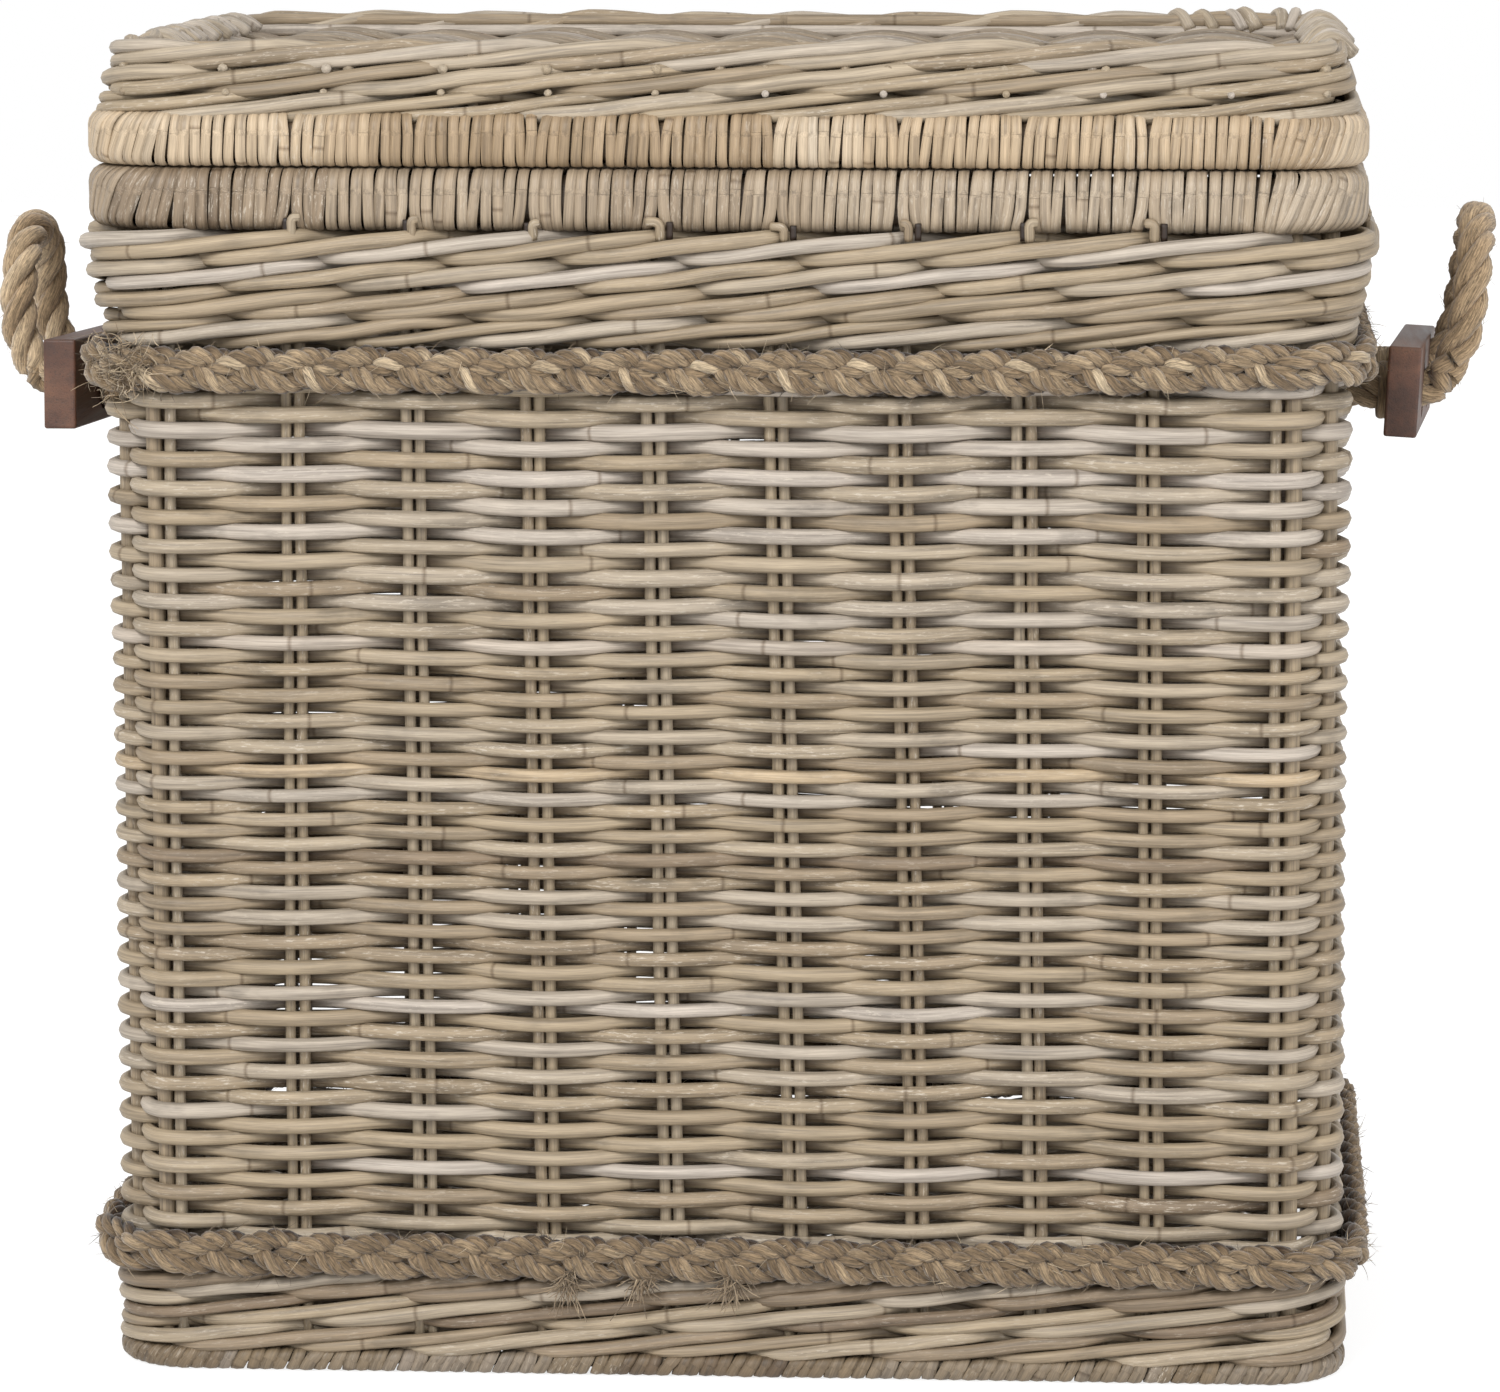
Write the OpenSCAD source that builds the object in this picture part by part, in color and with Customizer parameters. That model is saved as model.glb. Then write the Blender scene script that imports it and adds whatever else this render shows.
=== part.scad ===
// Woven cane laundry basket: a rounded rectangular hamper with a hinged lid, two plaited
// rope bands, and a rope handle threaded through a wooden bar on each side.
// Millimetres. Origin at the middle of the footprint, on the floor. +Z up, front faces -Y.

/* [Body] */
// Width over the woven walls
body_w = 600; // [560:5:680]
// Depth over the woven walls
body_d = 400; // [380:5:480]
// Radius of the upright corners, outside the weave
corner_r = 40; // [38:1:55]
// Thickness of the woven wall, from weaver to weaver
wall_t = 20; // [19:0.5:22]

/* [Height of each band] */
// Height of the cane-wrapped foot border
foot_h = 13; // [10:0.5:16]
// Height of the heavy weave above the foot
lower_wale_h = 35; // [30:1:45]
// Height of the open main weave between the rope bands
weave_h = 405; // [360:5:450]
// Height of each plaited rope band
band_h = 26; // [22:1:28]
// Height of the heavy weave under the rim
upper_wale_h = 53; // [45:1:60]
// Height of the wrapped rim of the body
rim_h = 30; // [26:0.5:34]
// Height of the wrapped rim of the lid
lid_rim_h = 26; // [22:0.5:30]
// Height of the heavy weave that forms the lid's wall
lid_wale_h = 25; // [20:1:30]

/* [Canes] */
// Diameter of an upright stake
stake_d = 5.5; // [4.5:0.1:6]
// Diameter of a corner post
post_d = 8; // [7:0.1:8.5]
// Stake pairs along the front and along the back
front_pairs = 8; // [6:1:8]
// Stake pairs along each side
side_pairs = 5; // [3:2:5]
// Distance from one front pair to the next
front_pitch = 58; // [50:1:60]
// Distance from one side pair to the next
side_pitch = 57; // [57:0.5:58]
// Sticks that run from front to back through the base, and through the lid
stick_n = 9; // [7:2:9]
// Diameter of those sticks
stick_d = 8; // [6:0.5:8.5]

/* [Handles] */
// Length of the wooden bar on each side
bar_len = 220; // [180:5:260]
// Height of the wooden bar
bar_h = 44; // [40:1:50]
// Thickness of the wooden bar
bar_t = 16; // [14:0.5:20]
// Diameter of the handle rope
rope_d = 21; // [18:0.5:22]
// Distance between the two legs of a handle
leg_pitch = 78; // [76:1:79]
// Length of a handle's straight leg
leg_len = 38; // [32:1:55]
// Outward lean of a handle as it stands
handle_lean = 19; // [10:0.5:25]

/* [Lid hinge] */
// Distance from the middle to each hinge
hinge_x = 150; // [120:5:200]
// Diameter of the hinge's cane pin
hinge_pin_d = 5; // [4.5:0.1:5.5]

/* [Hidden] */
$fn = 48;

fit_gap = 0.1;                                  // clearance round a cane in its channel
part_gap = 0.3;                                 // clearance between parts that move apart
band_behind = 14;                               // weave left behind a rope band
band_proud = 13;                                // how far the upper band stands out
wale_flare = 12;                                // how far the upper weave leans out
rim_in = 18;                                    // rim, inside the wall's outer face
rim_out = 6;                                    // rim, outside the wall's outer face
rod_r = 6;                                      // half height of a rod inside a wrapping
corner_angles = [6, 22, 68, 84];                // stake, post, post, stake round a corner
pair_gap = 1;                                   // space between the two stakes of a pair

lower_band_z = foot_h + lower_wale_h;
weave_z = lower_band_z + band_h - 2;
upper_band_z = weave_z + weave_h;
upper_wale_z = upper_band_z + band_h - 2;
rim_z = upper_wale_z + upper_wale_h + 0.5;
lid_z = rim_z + rim_h;                          // where the lid meets the body
lid_wale_z = lid_z + part_gap + lid_rim_h;
lid_top_z = lid_wale_z + lid_wale_h;
lid_border_h = 9;
stake_line = -wall_t / 2;                       // offset of the stakes from the outer face
base_z = foot_h + 2;
panel_t = 12;                                   // thickness of the base and of the lid's top
lid_panel_z = lid_top_z - panel_t;

bar_inner = body_w / 2 + band_proud + 12;
bar_z = upper_band_z - 27;
bar_hole_z = upper_band_z - 11;
pivot_x = bar_inner + bar_t + part_gap + rope_d / 2 + 0.2;
hinge_r = 6;                                    // outer radius of a hinge loop
hinge_y = body_d / 2 + rim_out + 0.4;
hinge_z = lid_z + part_gap / 2;

cane = [0.66, 0.58, 0.47];
pale_cane = [0.76, 0.66, 0.50];
hemp = [0.55, 0.45, 0.31];
dark_wood = [0.33, 0.18, 0.14];

// A quarter of an arc: centre, radius, first angle.
function quarter(c, r, from, steps = 4) =
    [for (i = [0 : steps]) c + r * [cos(from + 90 * i / steps), sin(from + 90 * i / steps)]];

// Outline of a rounded bar between two offsets and two heights.
function pill(o1, o2, z1, z2, r) = concat(
    quarter([o2 - r, z2 - r], r, 0), quarter([o1 + r, z2 - r], r, 90),
    quarter([o1 + r, z1 + r], r, 180), quarter([o2 - r, z1 + r], r, 270));

// Places along a row of pairs, about its middle.
function row(count, pitch) = [for (i = [0 : count - 1]) (i - (count - 1) / 2) * pitch];

// A straight run of an outline (offset, height), on the +Y side, along X.
module wall_run(length, reach) {
    rotate([90, 0, 90])
        linear_extrude(height = length, center = true)
            translate([reach, 0]) children();
}

// The front and back runs of an outline.
module long_runs(turns = [0, 180]) {
    for (turn = turns)
        rotate([0, 0, turn]) wall_run(body_w - 2 * corner_r, body_d / 2) children();
}

// The left and right runs of an outline.
module side_runs(turns = [90, 270]) {
    for (turn = turns)
        rotate([0, 0, turn]) wall_run(body_d - 2 * corner_r, body_w / 2) children();
}

// Places children at each corner's centre, turned so that +X faces the side there.
module at_corners() {
    x = body_w / 2 - corner_r;
    y = body_d / 2 - corner_r;
    for (place = [[x, y, 0], [-x, y, 90], [-x, -y, 180], [x, -y, 270]])
        translate([place[0], place[1], 0]) rotate([0, 0, place[2]]) children();
}

// The four rounded corners of an outline.
module corner_runs() {
    at_corners() rotate_extrude(angle = 90) translate([corner_r, 0]) children();
}

// An outline carried all the way round the basket.
module ring() {
    long_runs() children();
    side_runs() children();
    corner_runs() children();
}

// A rounded rectangular plate out to an offset.
module plate(offset_out, z, t) {
    ring() translate([-corner_r, z]) square([corner_r + offset_out, t]);
    translate([corner_r - body_w / 2, corner_r - body_d / 2, z])
        cube([body_w - 2 * corner_r, body_d - 2 * corner_r, t]);
}

// A rectangular outline between two offsets and two heights.
module band(o1, o2, z1, z2) {
    translate([o1, z1]) square([o2 - o1, z2 - z1]);
}

// An upright cane, or the square channel that holds it.
module upright(d, z1, z2, channel) {
    if (channel)
        translate([-d / 2 - fit_gap, -d / 2 - fit_gap, z1])
            cube([d + 2 * fit_gap, d + 2 * fit_gap, z2 - z1]);
    else
        translate([0, 0, z1]) cylinder(d = d, h = z2 - z1);
}

// The stake pairs on one long side, which stands at +Y before it is turned.
module long_pairs(turn, z1, z2, channel = false) {
    rotate([0, 0, turn])
        for (x = row(front_pairs, front_pitch), s = [-1, 1])
            translate([x + s * (stake_d + pair_gap) / 2, body_d / 2 + stake_line, 0])
                upright(stake_d, z1, z2, channel);
}

// The stake pairs on one short side, which stands at +X before it is turned.
module side_pair_row(turn, z1, z2, channel = false) {
    rotate([0, 0, turn])
        for (y = row(side_pairs, side_pitch), s = [-1, 1])
            translate([body_w / 2 + stake_line, y + s * (stake_d + pair_gap) / 2, 0])
                upright(stake_d, z1, z2, channel);
}

// The canes round each corner that stand at the given places in corner_angles.
module corner_canes(places, d, z1, z2, channel = false) {
    at_corners()
        for (i = places)
            rotate([0, 0, corner_angles[i]])
                translate([corner_r + stake_line, 0, 0]) upright(d, z1, z2, channel);
}

// Channels for every upright cane, to cut from a band of weave.
module all_channels(z1, z2) {
    long_pairs(0, z1, z2, true);
    long_pairs(180, z1, z2, true);
    side_pair_row(0, z1, z2, true);
    side_pair_row(180, z1, z2, true);
    corner_channels(z1, z2);
}

module corner_channels(z1, z2) {
    corner_canes([1, 2], post_d, z1, z2, true);
    corner_canes([0, 3], stake_d, z1, z2, true);
}

// Section of the main woven wall, thinner where a rope band lies over it.
module weave_section() {
    band(-wall_t, 0, weave_z, upper_band_z);
    band(-wall_t, band_behind - wall_t, lower_band_z, upper_wale_z);
}

// Bores through the wall, the band and the bar for the rope legs of both handles.
module leg_bores(from_x, to_x) {
    for (side = [-1, 1], y = [-leg_pitch / 2, leg_pitch / 2])
        translate([side * from_x, y, bar_hole_z])
            rotate([0, side * 90, 0]) cylinder(d = rope_d, h = to_x - from_x);
}

// Room in both rims for a hinge.
module hinge_room() {
    for (s = [-1, 1])
        translate([s * hinge_x - 32, hinge_y, hinge_z]) rotate([0, 90, 0])
            cylinder(r = hinge_r + 0.5, h = 64);
}

// ---- Foot and base ----

module foot_rod() {
    color(cane) ring() polygon(pill(-11.5, -3.5, foot_h / 2 - 3, foot_h / 2 + 3, 2.8));
}

module foot_wrapping() {
    color(cane) ring() difference() {
        polygon(pill(-16, 0, 0, foot_h, 5));
        polygon(pill(-11.5, -3.5, foot_h / 2 - 3, foot_h / 2 + 3, 2.8));
    }
}

module sticks(z, reach, channel = false) {
    half = body_d / 2 + reach;
    d = channel ? stick_d + 2 * fit_gap : stick_d;
    for (x = row(stick_n, front_pitch))
        if (channel)
            translate([x - d / 2, -half, z - d / 2]) cube([d, 2 * half, d]);
        else
            translate([x, half, z]) rotate([90, 0, 0]) cylinder(d = d, h = 2 * half);
}

module base_panel() {
    color(cane) difference() {
        plate(-wall_t - fit_gap, base_z, panel_t);
        sticks(base_z + panel_t / 2, -wall_t, true);
    }
}

module base_sticks() {
    color(cane) sticks(base_z + panel_t / 2, -wall_t - fit_gap);
}

module lower_wale() {
    color(cane) difference() {
        ring() polygon(pill(-wall_t, 1, foot_h, lower_band_z, 3));
        all_channels(foot_h + 2, lower_band_z + 1);
    }
}

// ---- Rope bands ----

module lower_rope_band() {
    color(hemp) ring()
        polygon(pill(band_behind - wall_t, 10, lower_band_z + 0.1, weave_z - 0.1, 7));
}

module upper_rope_band() {
    color(hemp) difference() {
        ring() polygon(pill(band_behind - wall_t, band_proud,
                            upper_band_z + 0.1, upper_wale_z - 0.1, 7));
        leg_bores(body_w / 2 - 30, bar_inner);
    }
}

// ---- Woven walls and their uprights ----

module long_weave(turn) {
    color(cane) difference() {
        long_runs([turn]) weave_section();
        long_pairs(turn, lower_band_z - 1, upper_wale_z + 1, true);
    }
}

module side_weave(turn) {
    color(cane) difference() {
        side_runs([turn + 270]) weave_section();
        side_pair_row(turn, lower_band_z - 1, upper_wale_z + 1, true);
        leg_bores(body_w / 2 - wall_t - 5, bar_inner);
    }
}

module front_weave() { long_weave(180); }
module back_weave() { long_weave(0); }
module left_weave() { side_weave(180); }
module right_weave() { side_weave(0); }

module corner_weave() {
    color(cane) difference() {
        corner_runs() weave_section();
        corner_channels(lower_band_z - 1, upper_wale_z + 1);
    }
}

module front_stakes() { color(cane) long_pairs(180, foot_h + 2.2, rim_z - 1); }
module back_stakes() { color(cane) long_pairs(0, foot_h + 2.2, rim_z - 1); }
module left_stakes() { color(cane) side_pair_row(180, foot_h + 2.2, rim_z - 1); }
module right_stakes() { color(cane) side_pair_row(0, foot_h + 2.2, rim_z - 1); }
module corner_posts() { color(cane) corner_canes([1, 2], post_d, foot_h + 2.2, rim_z - 1); }
module corner_stakes() { color(cane) corner_canes([0, 3], stake_d, foot_h + 2.2, rim_z - 1); }

// ---- Upper wale and the body's rim ----

module upper_wale() {
    color(cane) difference() {
        ring() polygon([[-wall_t, upper_wale_z], [-2, upper_wale_z], [0, upper_wale_z + 3],
                        [wale_flare, rim_z - 6], [wale_flare - 3, rim_z - 0.5],
                        [-wall_t, rim_z - 0.5]]);
        all_channels(upper_wale_z - 1, rim_z + 1);
    }
}

module rod_section(o1, o2, z1, z2) {
    middle = (z1 + z2) / 2;
    polygon(pill(o1 + 5, o2 - 5, middle - rod_r, middle + rod_r, 5));
}

module rim_rod() {
    color(cane) ring() rod_section(-rim_in, rim_out, rim_z, lid_z);
}

module rim_wrapping() {
    color(cane) difference() {
        ring() difference() {
            polygon(pill(-rim_in, rim_out, rim_z, lid_z, 9));
            rod_section(-rim_in, rim_out, rim_z, lid_z);
        }
        hinge_room();
    }
}

// The folded end of each stake, which shows as a small hook under the rim.
module stake_tips() {
    size = [7, 4, 8];
    color(cane) {
        for (turn = [0, 180], x = row(front_pairs, front_pitch))
            rotate([0, 0, turn])
                translate([x - size[0] / 2, body_d / 2 + rim_out + fit_gap, rim_z]) cube(size);
        for (turn = [90, 270], y = row(side_pairs, side_pitch))
            rotate([0, 0, turn])
                translate([y - size[0] / 2, body_w / 2 + rim_out + fit_gap, rim_z]) cube(size);
    }
}

// ---- Handles ----

module handle_bar(side) {
    color(dark_wood) difference() {
        translate([side > 0 ? bar_inner : -bar_inner - bar_t, -bar_len / 2, bar_z])
            cube([bar_t, bar_len, bar_h]);
        leg_bores(bar_inner - 5, bar_inner + bar_t + 5);
    }
}

module left_handle_bar() { handle_bar(-1); }
module right_handle_bar() { handle_bar(1); }

// Each leg's run through the bar and the wall, with its collar behind the bar and its
// stopper knot inside the basket.
module rope_ends(side) {
    tail = body_w / 2 - wall_t - 18;
    collar_x = body_w / 2 + band_proud + fit_gap;
    color(hemp) for (y = [-leg_pitch / 2, leg_pitch / 2])
        translate([0, y, bar_hole_z]) rotate([0, side * 90, 0]) {
            translate([0, 0, tail])
                cylinder(d = rope_d - 2 * fit_gap, h = bar_inner + bar_t + 0.2 - tail);
            translate([0, 0, collar_x])
                cylinder(d = rope_d + 9, h = bar_inner - collar_x - fit_gap);
            translate([0, 0, tail]) sphere(d = 34);
        }
}

module left_rope_ends() { rope_ends(-1); }
module right_rope_ends() { rope_ends(1); }

// The rope loop outside the bar: two legs that lean outward and the bend that joins them.
module handle_rope(side) {
    color(hemp) translate([side * pivot_x, 0, bar_hole_z]) rotate([0, side * handle_lean, 0]) {
        for (y = [-leg_pitch / 2, leg_pitch / 2])
            translate([0, y, 0]) {
                sphere(d = rope_d);
                cylinder(d = rope_d, h = leg_len);
            }
        translate([0, 0, leg_len]) rotate([90, 0, 90])
            rotate_extrude(angle = 180) translate([leg_pitch / 2, 0]) circle(d = rope_d);
    }
}

module left_handle_rope() { handle_rope(-1); }
module right_handle_rope() { handle_rope(1); }

// ---- Lid hinge: cane loops on the body and on the lid, round one cane pin ----

// One loop with the strap that ties it to its rim. up is 1 for the lid, -1 for the body.
module hinge_loop(x, length, up, bore_d) {
    translate([x - length / 2, hinge_y, hinge_z]) rotate([0, 90, 0]) difference() {
        union() {
            cylinder(r = hinge_r, h = length);
            translate([up > 0 ? -22 : 0, 0.2, 0]) cube([22, hinge_r - 0.7, length]);
        }
        translate([0, 0, -1]) cylinder(d = bore_d, h = length + 2);
    }
}

module hinge_loops() {
    color(cane)
        for (s = [-1, 1], dx = [-20, 20])
            hinge_loop(s * hinge_x + dx, 13, -1, hinge_pin_d);
}

module lid_hinge_loops() {
    color(cane)
        for (s = [-1, 1])
            hinge_loop(s * hinge_x, 26, 1, hinge_pin_d + 0.1);
}

module hinge_pins() {
    color(cane)
        for (s = [-1, 1])
            translate([s * hinge_x - 29, hinge_y, hinge_z]) rotate([0, 90, 0])
                cylinder(d = hinge_pin_d, h = 58);
}

// ---- Lid ----

module lid_rim_rod() {
    color(pale_cane) ring() rod_section(-rim_in, rim_out, lid_z + part_gap, lid_wale_z);
}

module lid_rim_wrapping() {
    color(pale_cane) difference() {
        ring() difference() {
            polygon(pill(-rim_in, rim_out, lid_z + part_gap, lid_wale_z, 8));
            rod_section(-rim_in, rim_out, lid_z + part_gap, lid_wale_z);
        }
        hinge_room();
    }
}

// The short stakes inside the lid's wall, or the channels that hold them.
module lid_uprights(channel = false) {
    z1 = lid_wale_z + 1;
    z2 = channel ? lid_top_z + 1 : lid_top_z - 1;
    for (turn = [0, 180], x = row(stick_n, front_pitch))
        rotate([0, 0, turn])
            translate([x, body_d / 2 + stake_line - 2, 0]) upright(stake_d, z1, z2, channel);
    for (turn = [0, 180], y = row(side_pairs, side_pitch))
        rotate([0, 0, turn])
            translate([body_w / 2 + stake_line - 2, y, 0]) upright(stake_d, z1, z2, channel);
}

module lid_wale() {
    color(cane) difference() {
        ring() polygon([[-wall_t, lid_wale_z], [0, lid_wale_z], [2, lid_wale_z + 5],
                        [-3, lid_top_z], [-wall_t, lid_top_z]]);
        lid_uprights(true);
    }
}

module lid_stakes() {
    color(cane) lid_uprights();
}

module lid_border() {
    color(cane) ring()
        polygon(pill(-wall_t - 2, -4, lid_top_z + fit_gap, lid_top_z + lid_border_h, 4));
}

module lid_top_weave() {
    color(cane) difference() {
        plate(-wall_t - fit_gap, lid_panel_z, panel_t);
        sticks(lid_panel_z + panel_t / 2, -wall_t, true);
    }
}

module lid_sticks() {
    color(cane) sticks(lid_panel_z + panel_t / 2, -wall_t - fit_gap);
}

foot_rod();
foot_wrapping();
base_panel();
base_sticks();
lower_wale();
lower_rope_band();
front_weave();
back_weave();
left_weave();
right_weave();
corner_weave();
front_stakes();
back_stakes();
left_stakes();
right_stakes();
corner_posts();
corner_stakes();
upper_rope_band();
upper_wale();
rim_rod();
rim_wrapping();
stake_tips();
left_handle_bar();
right_handle_bar();
left_rope_ends();
right_rope_ends();
hinge_loops();
hinge_pins();
lid_rim_rod();
lid_rim_wrapping();
lid_wale();
lid_stakes();
lid_border();
lid_top_weave();
lid_sticks();
lid_hinge_loops();
left_handle_rope();
right_handle_rope();
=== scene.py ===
"""Woven laundry basket: the looks of every piece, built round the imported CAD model."""
import math

import bmesh
import bpy
import numpy as np
from mathutils import Matrix, Vector

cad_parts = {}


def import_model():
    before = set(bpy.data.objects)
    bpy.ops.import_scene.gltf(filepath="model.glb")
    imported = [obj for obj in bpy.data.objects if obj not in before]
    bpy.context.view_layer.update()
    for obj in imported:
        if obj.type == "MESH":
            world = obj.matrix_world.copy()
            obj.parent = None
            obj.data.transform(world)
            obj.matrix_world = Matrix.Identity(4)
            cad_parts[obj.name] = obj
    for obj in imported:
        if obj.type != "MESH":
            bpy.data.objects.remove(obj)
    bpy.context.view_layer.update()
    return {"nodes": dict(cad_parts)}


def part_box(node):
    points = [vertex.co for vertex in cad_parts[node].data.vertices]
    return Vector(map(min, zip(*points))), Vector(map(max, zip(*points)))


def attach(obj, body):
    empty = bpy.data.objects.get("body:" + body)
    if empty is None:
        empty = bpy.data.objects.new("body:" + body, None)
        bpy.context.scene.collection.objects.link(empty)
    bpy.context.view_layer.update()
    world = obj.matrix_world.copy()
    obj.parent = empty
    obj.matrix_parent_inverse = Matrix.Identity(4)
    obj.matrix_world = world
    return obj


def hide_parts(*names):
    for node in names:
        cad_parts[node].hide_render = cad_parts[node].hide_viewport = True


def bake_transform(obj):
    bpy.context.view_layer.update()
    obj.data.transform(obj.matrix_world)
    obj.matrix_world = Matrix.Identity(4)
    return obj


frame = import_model()

MM = 0.001
TURN = 2 * math.pi
rng = np.random.default_rng(11)

# -------------------- sizes, read from the frame


def low(node, axis):
    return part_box(node)[0][axis]


def high(node, axis):
    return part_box(node)[1][axis]


def midway(node, axis):
    return (high(node, axis) + low(node, axis)) / 2


def heights(node):
    return low(node, 2), high(node, 2)


HALF_W = high("right_weave", 0)
HALF_D = high("back_weave", 1)
WALL = HALF_W - low("right_weave", 0)
CORNER = HALF_W - high("front_weave", 0)
STAKE_LINE = -WALL / 2                      # offset of the stakes from the wall's outer face
STAKE_R = (high("front_stakes", 1) - low("front_stakes", 1)) / 2
PAIR = 2 * STAKE_R + 1 * MM                 # distance between the two stakes of a pair
FRONT_PAIRS, SIDE_PAIRS = 8, 5
FRONT_PITCH = (high("front_stakes", 0) - low("front_stakes", 0) - PAIR - 2 * STAKE_R) / (FRONT_PAIRS - 1)
SIDE_PITCH = (high("left_stakes", 1) - low("left_stakes", 1) - PAIR - 2 * STAKE_R) / (SIDE_PAIRS - 1)
POST_R = 4 * MM
CORNER_ANGLES = (6, 22, 68, 84)             # stake, post, post, stake round each corner
FOOT_TOP = low("lower_wale", 2)
LOWER_BAND = heights("lower_rope_band")
UPPER_BAND = heights("upper_rope_band")
UPPER_WALE = heights("upper_wale")
RIM = heights("rim_wrapping")
LID_RIM = heights("lid_rim_wrapping")
LID_WALE = heights("lid_wale")
LID_BORDER_TOP = high("lid_border", 2)
RIM_OUT = high("rim_wrapping", 0) - HALF_W
RIM_IN = RIM_OUT - 24 * MM
UPRIGHT = (FOOT_TOP + 2 * MM, RIM[0] + 3 * MM)    # from where to where the stakes and posts stand

# -------------------- the walk round the basket

STRAIGHT_X, STRAIGHT_Y = HALF_W - CORNER, HALF_D - CORNER
STAKE_BEND = CORNER + STAKE_LINE            # radius of the stake line at a corner
# Each stretch: where its centre starts, which way that moves, its length, its first angle.
STRETCHES = [
    ((0, STRAIGHT_Y), (-1, 0), STRAIGHT_X, 90),
    ((-STRAIGHT_X, STRAIGHT_Y), (0, 0), STAKE_BEND * math.pi / 2, 90),
    ((-STRAIGHT_X, STRAIGHT_Y), (0, -1), 2 * STRAIGHT_Y, 180),
    ((-STRAIGHT_X, -STRAIGHT_Y), (0, 0), STAKE_BEND * math.pi / 2, 180),
    ((-STRAIGHT_X, -STRAIGHT_Y), (1, 0), 2 * STRAIGHT_X, 270),
    ((STRAIGHT_X, -STRAIGHT_Y), (0, 0), STAKE_BEND * math.pi / 2, 270),
    ((STRAIGHT_X, -STRAIGHT_Y), (0, 1), 2 * STRAIGHT_Y, 360),
    ((STRAIGHT_X, STRAIGHT_Y), (0, 0), STAKE_BEND * math.pi / 2, 360),
    ((STRAIGHT_X, STRAIGHT_Y), (-1, 0), STRAIGHT_X, 450),
]
CENTRES = np.array([s[0] for s in STRETCHES], float)
HEADINGS = np.array([s[1] for s in STRETCHES], float)
LENGTHS = np.array([s[2] for s in STRETCHES], float)
ANGLES = np.radians([s[3] for s in STRETCHES])
STARTS = np.concatenate([[0], np.cumsum(LENGTHS)[:-1]])
ROUND = float(LENGTHS.sum())                # once round, along the stake line


def around(s, out):
    """Points at distance s round the basket and out from the wall's outer face, and outward normals."""
    s = np.mod(np.atleast_1d(np.asarray(s, float)), ROUND)
    i = np.searchsorted(STARTS, s, side="right") - 1
    d = s - STARTS[i]
    bend = (np.abs(HEADINGS[i]).sum(1) == 0) / STAKE_BEND
    angle = ANGLES[i] + d * bend
    normal = np.stack([np.cos(angle), np.sin(angle)], 1)
    reach = (CORNER + np.broadcast_to(out, s.shape))[:, None]
    return CENTRES[i] + HEADINGS[i] * d[:, None] + normal * reach, normal


def row(count, pitch):
    return [(i - (count - 1) / 2) * pitch for i in range(count)]


def front_s(x):
    return STARTS[4] + STRAIGHT_X + x


def back_s(x):
    return (STARTS[8] + STRAIGHT_X - x) % ROUND


def left_s(y):
    return STARTS[2] + STRAIGHT_Y - y


def right_s(y):
    return STARTS[6] + STRAIGHT_Y + y


def corner_s(degrees):
    return [STARTS[i] + STAKE_BEND * math.radians(degrees) for i in (1, 3, 5, 7)]


PAIRS = {
    "front": [front_s(x) for x in row(FRONT_PAIRS, FRONT_PITCH)],
    "back": [back_s(x) for x in row(FRONT_PAIRS, FRONT_PITCH)],
    "left": [left_s(y) for y in row(SIDE_PAIRS, SIDE_PITCH)],
    "right": [right_s(y) for y in row(SIDE_PAIRS, SIDE_PITCH)],
}
PAIR_S = sum(PAIRS.values(), [])
UNIT_S = np.array(sorted(PAIR_S + corner_s(14) + corner_s(76)))

# -------------------- strands into meshes


def placed(name, data):
    """A new object in the scene."""
    made = bpy.data.objects.new(name, data)
    bpy.context.scene.collection.objects.link(made)
    return made


def unit(v):
    return v / np.maximum(np.linalg.norm(v, axis=-1, keepdims=True), 1e-12)


def steps(points, closed):
    """The direction of travel at each point."""
    if closed:
        return unit(np.roll(points, -1, 0) - np.roll(points, 1, 0))
    return unit(np.gradient(points, axis=0))


def distances(path):
    """How far each point is along the path."""
    return np.concatenate([[0], np.cumsum(np.linalg.norm(np.diff(path, axis=0), axis=1))])


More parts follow.
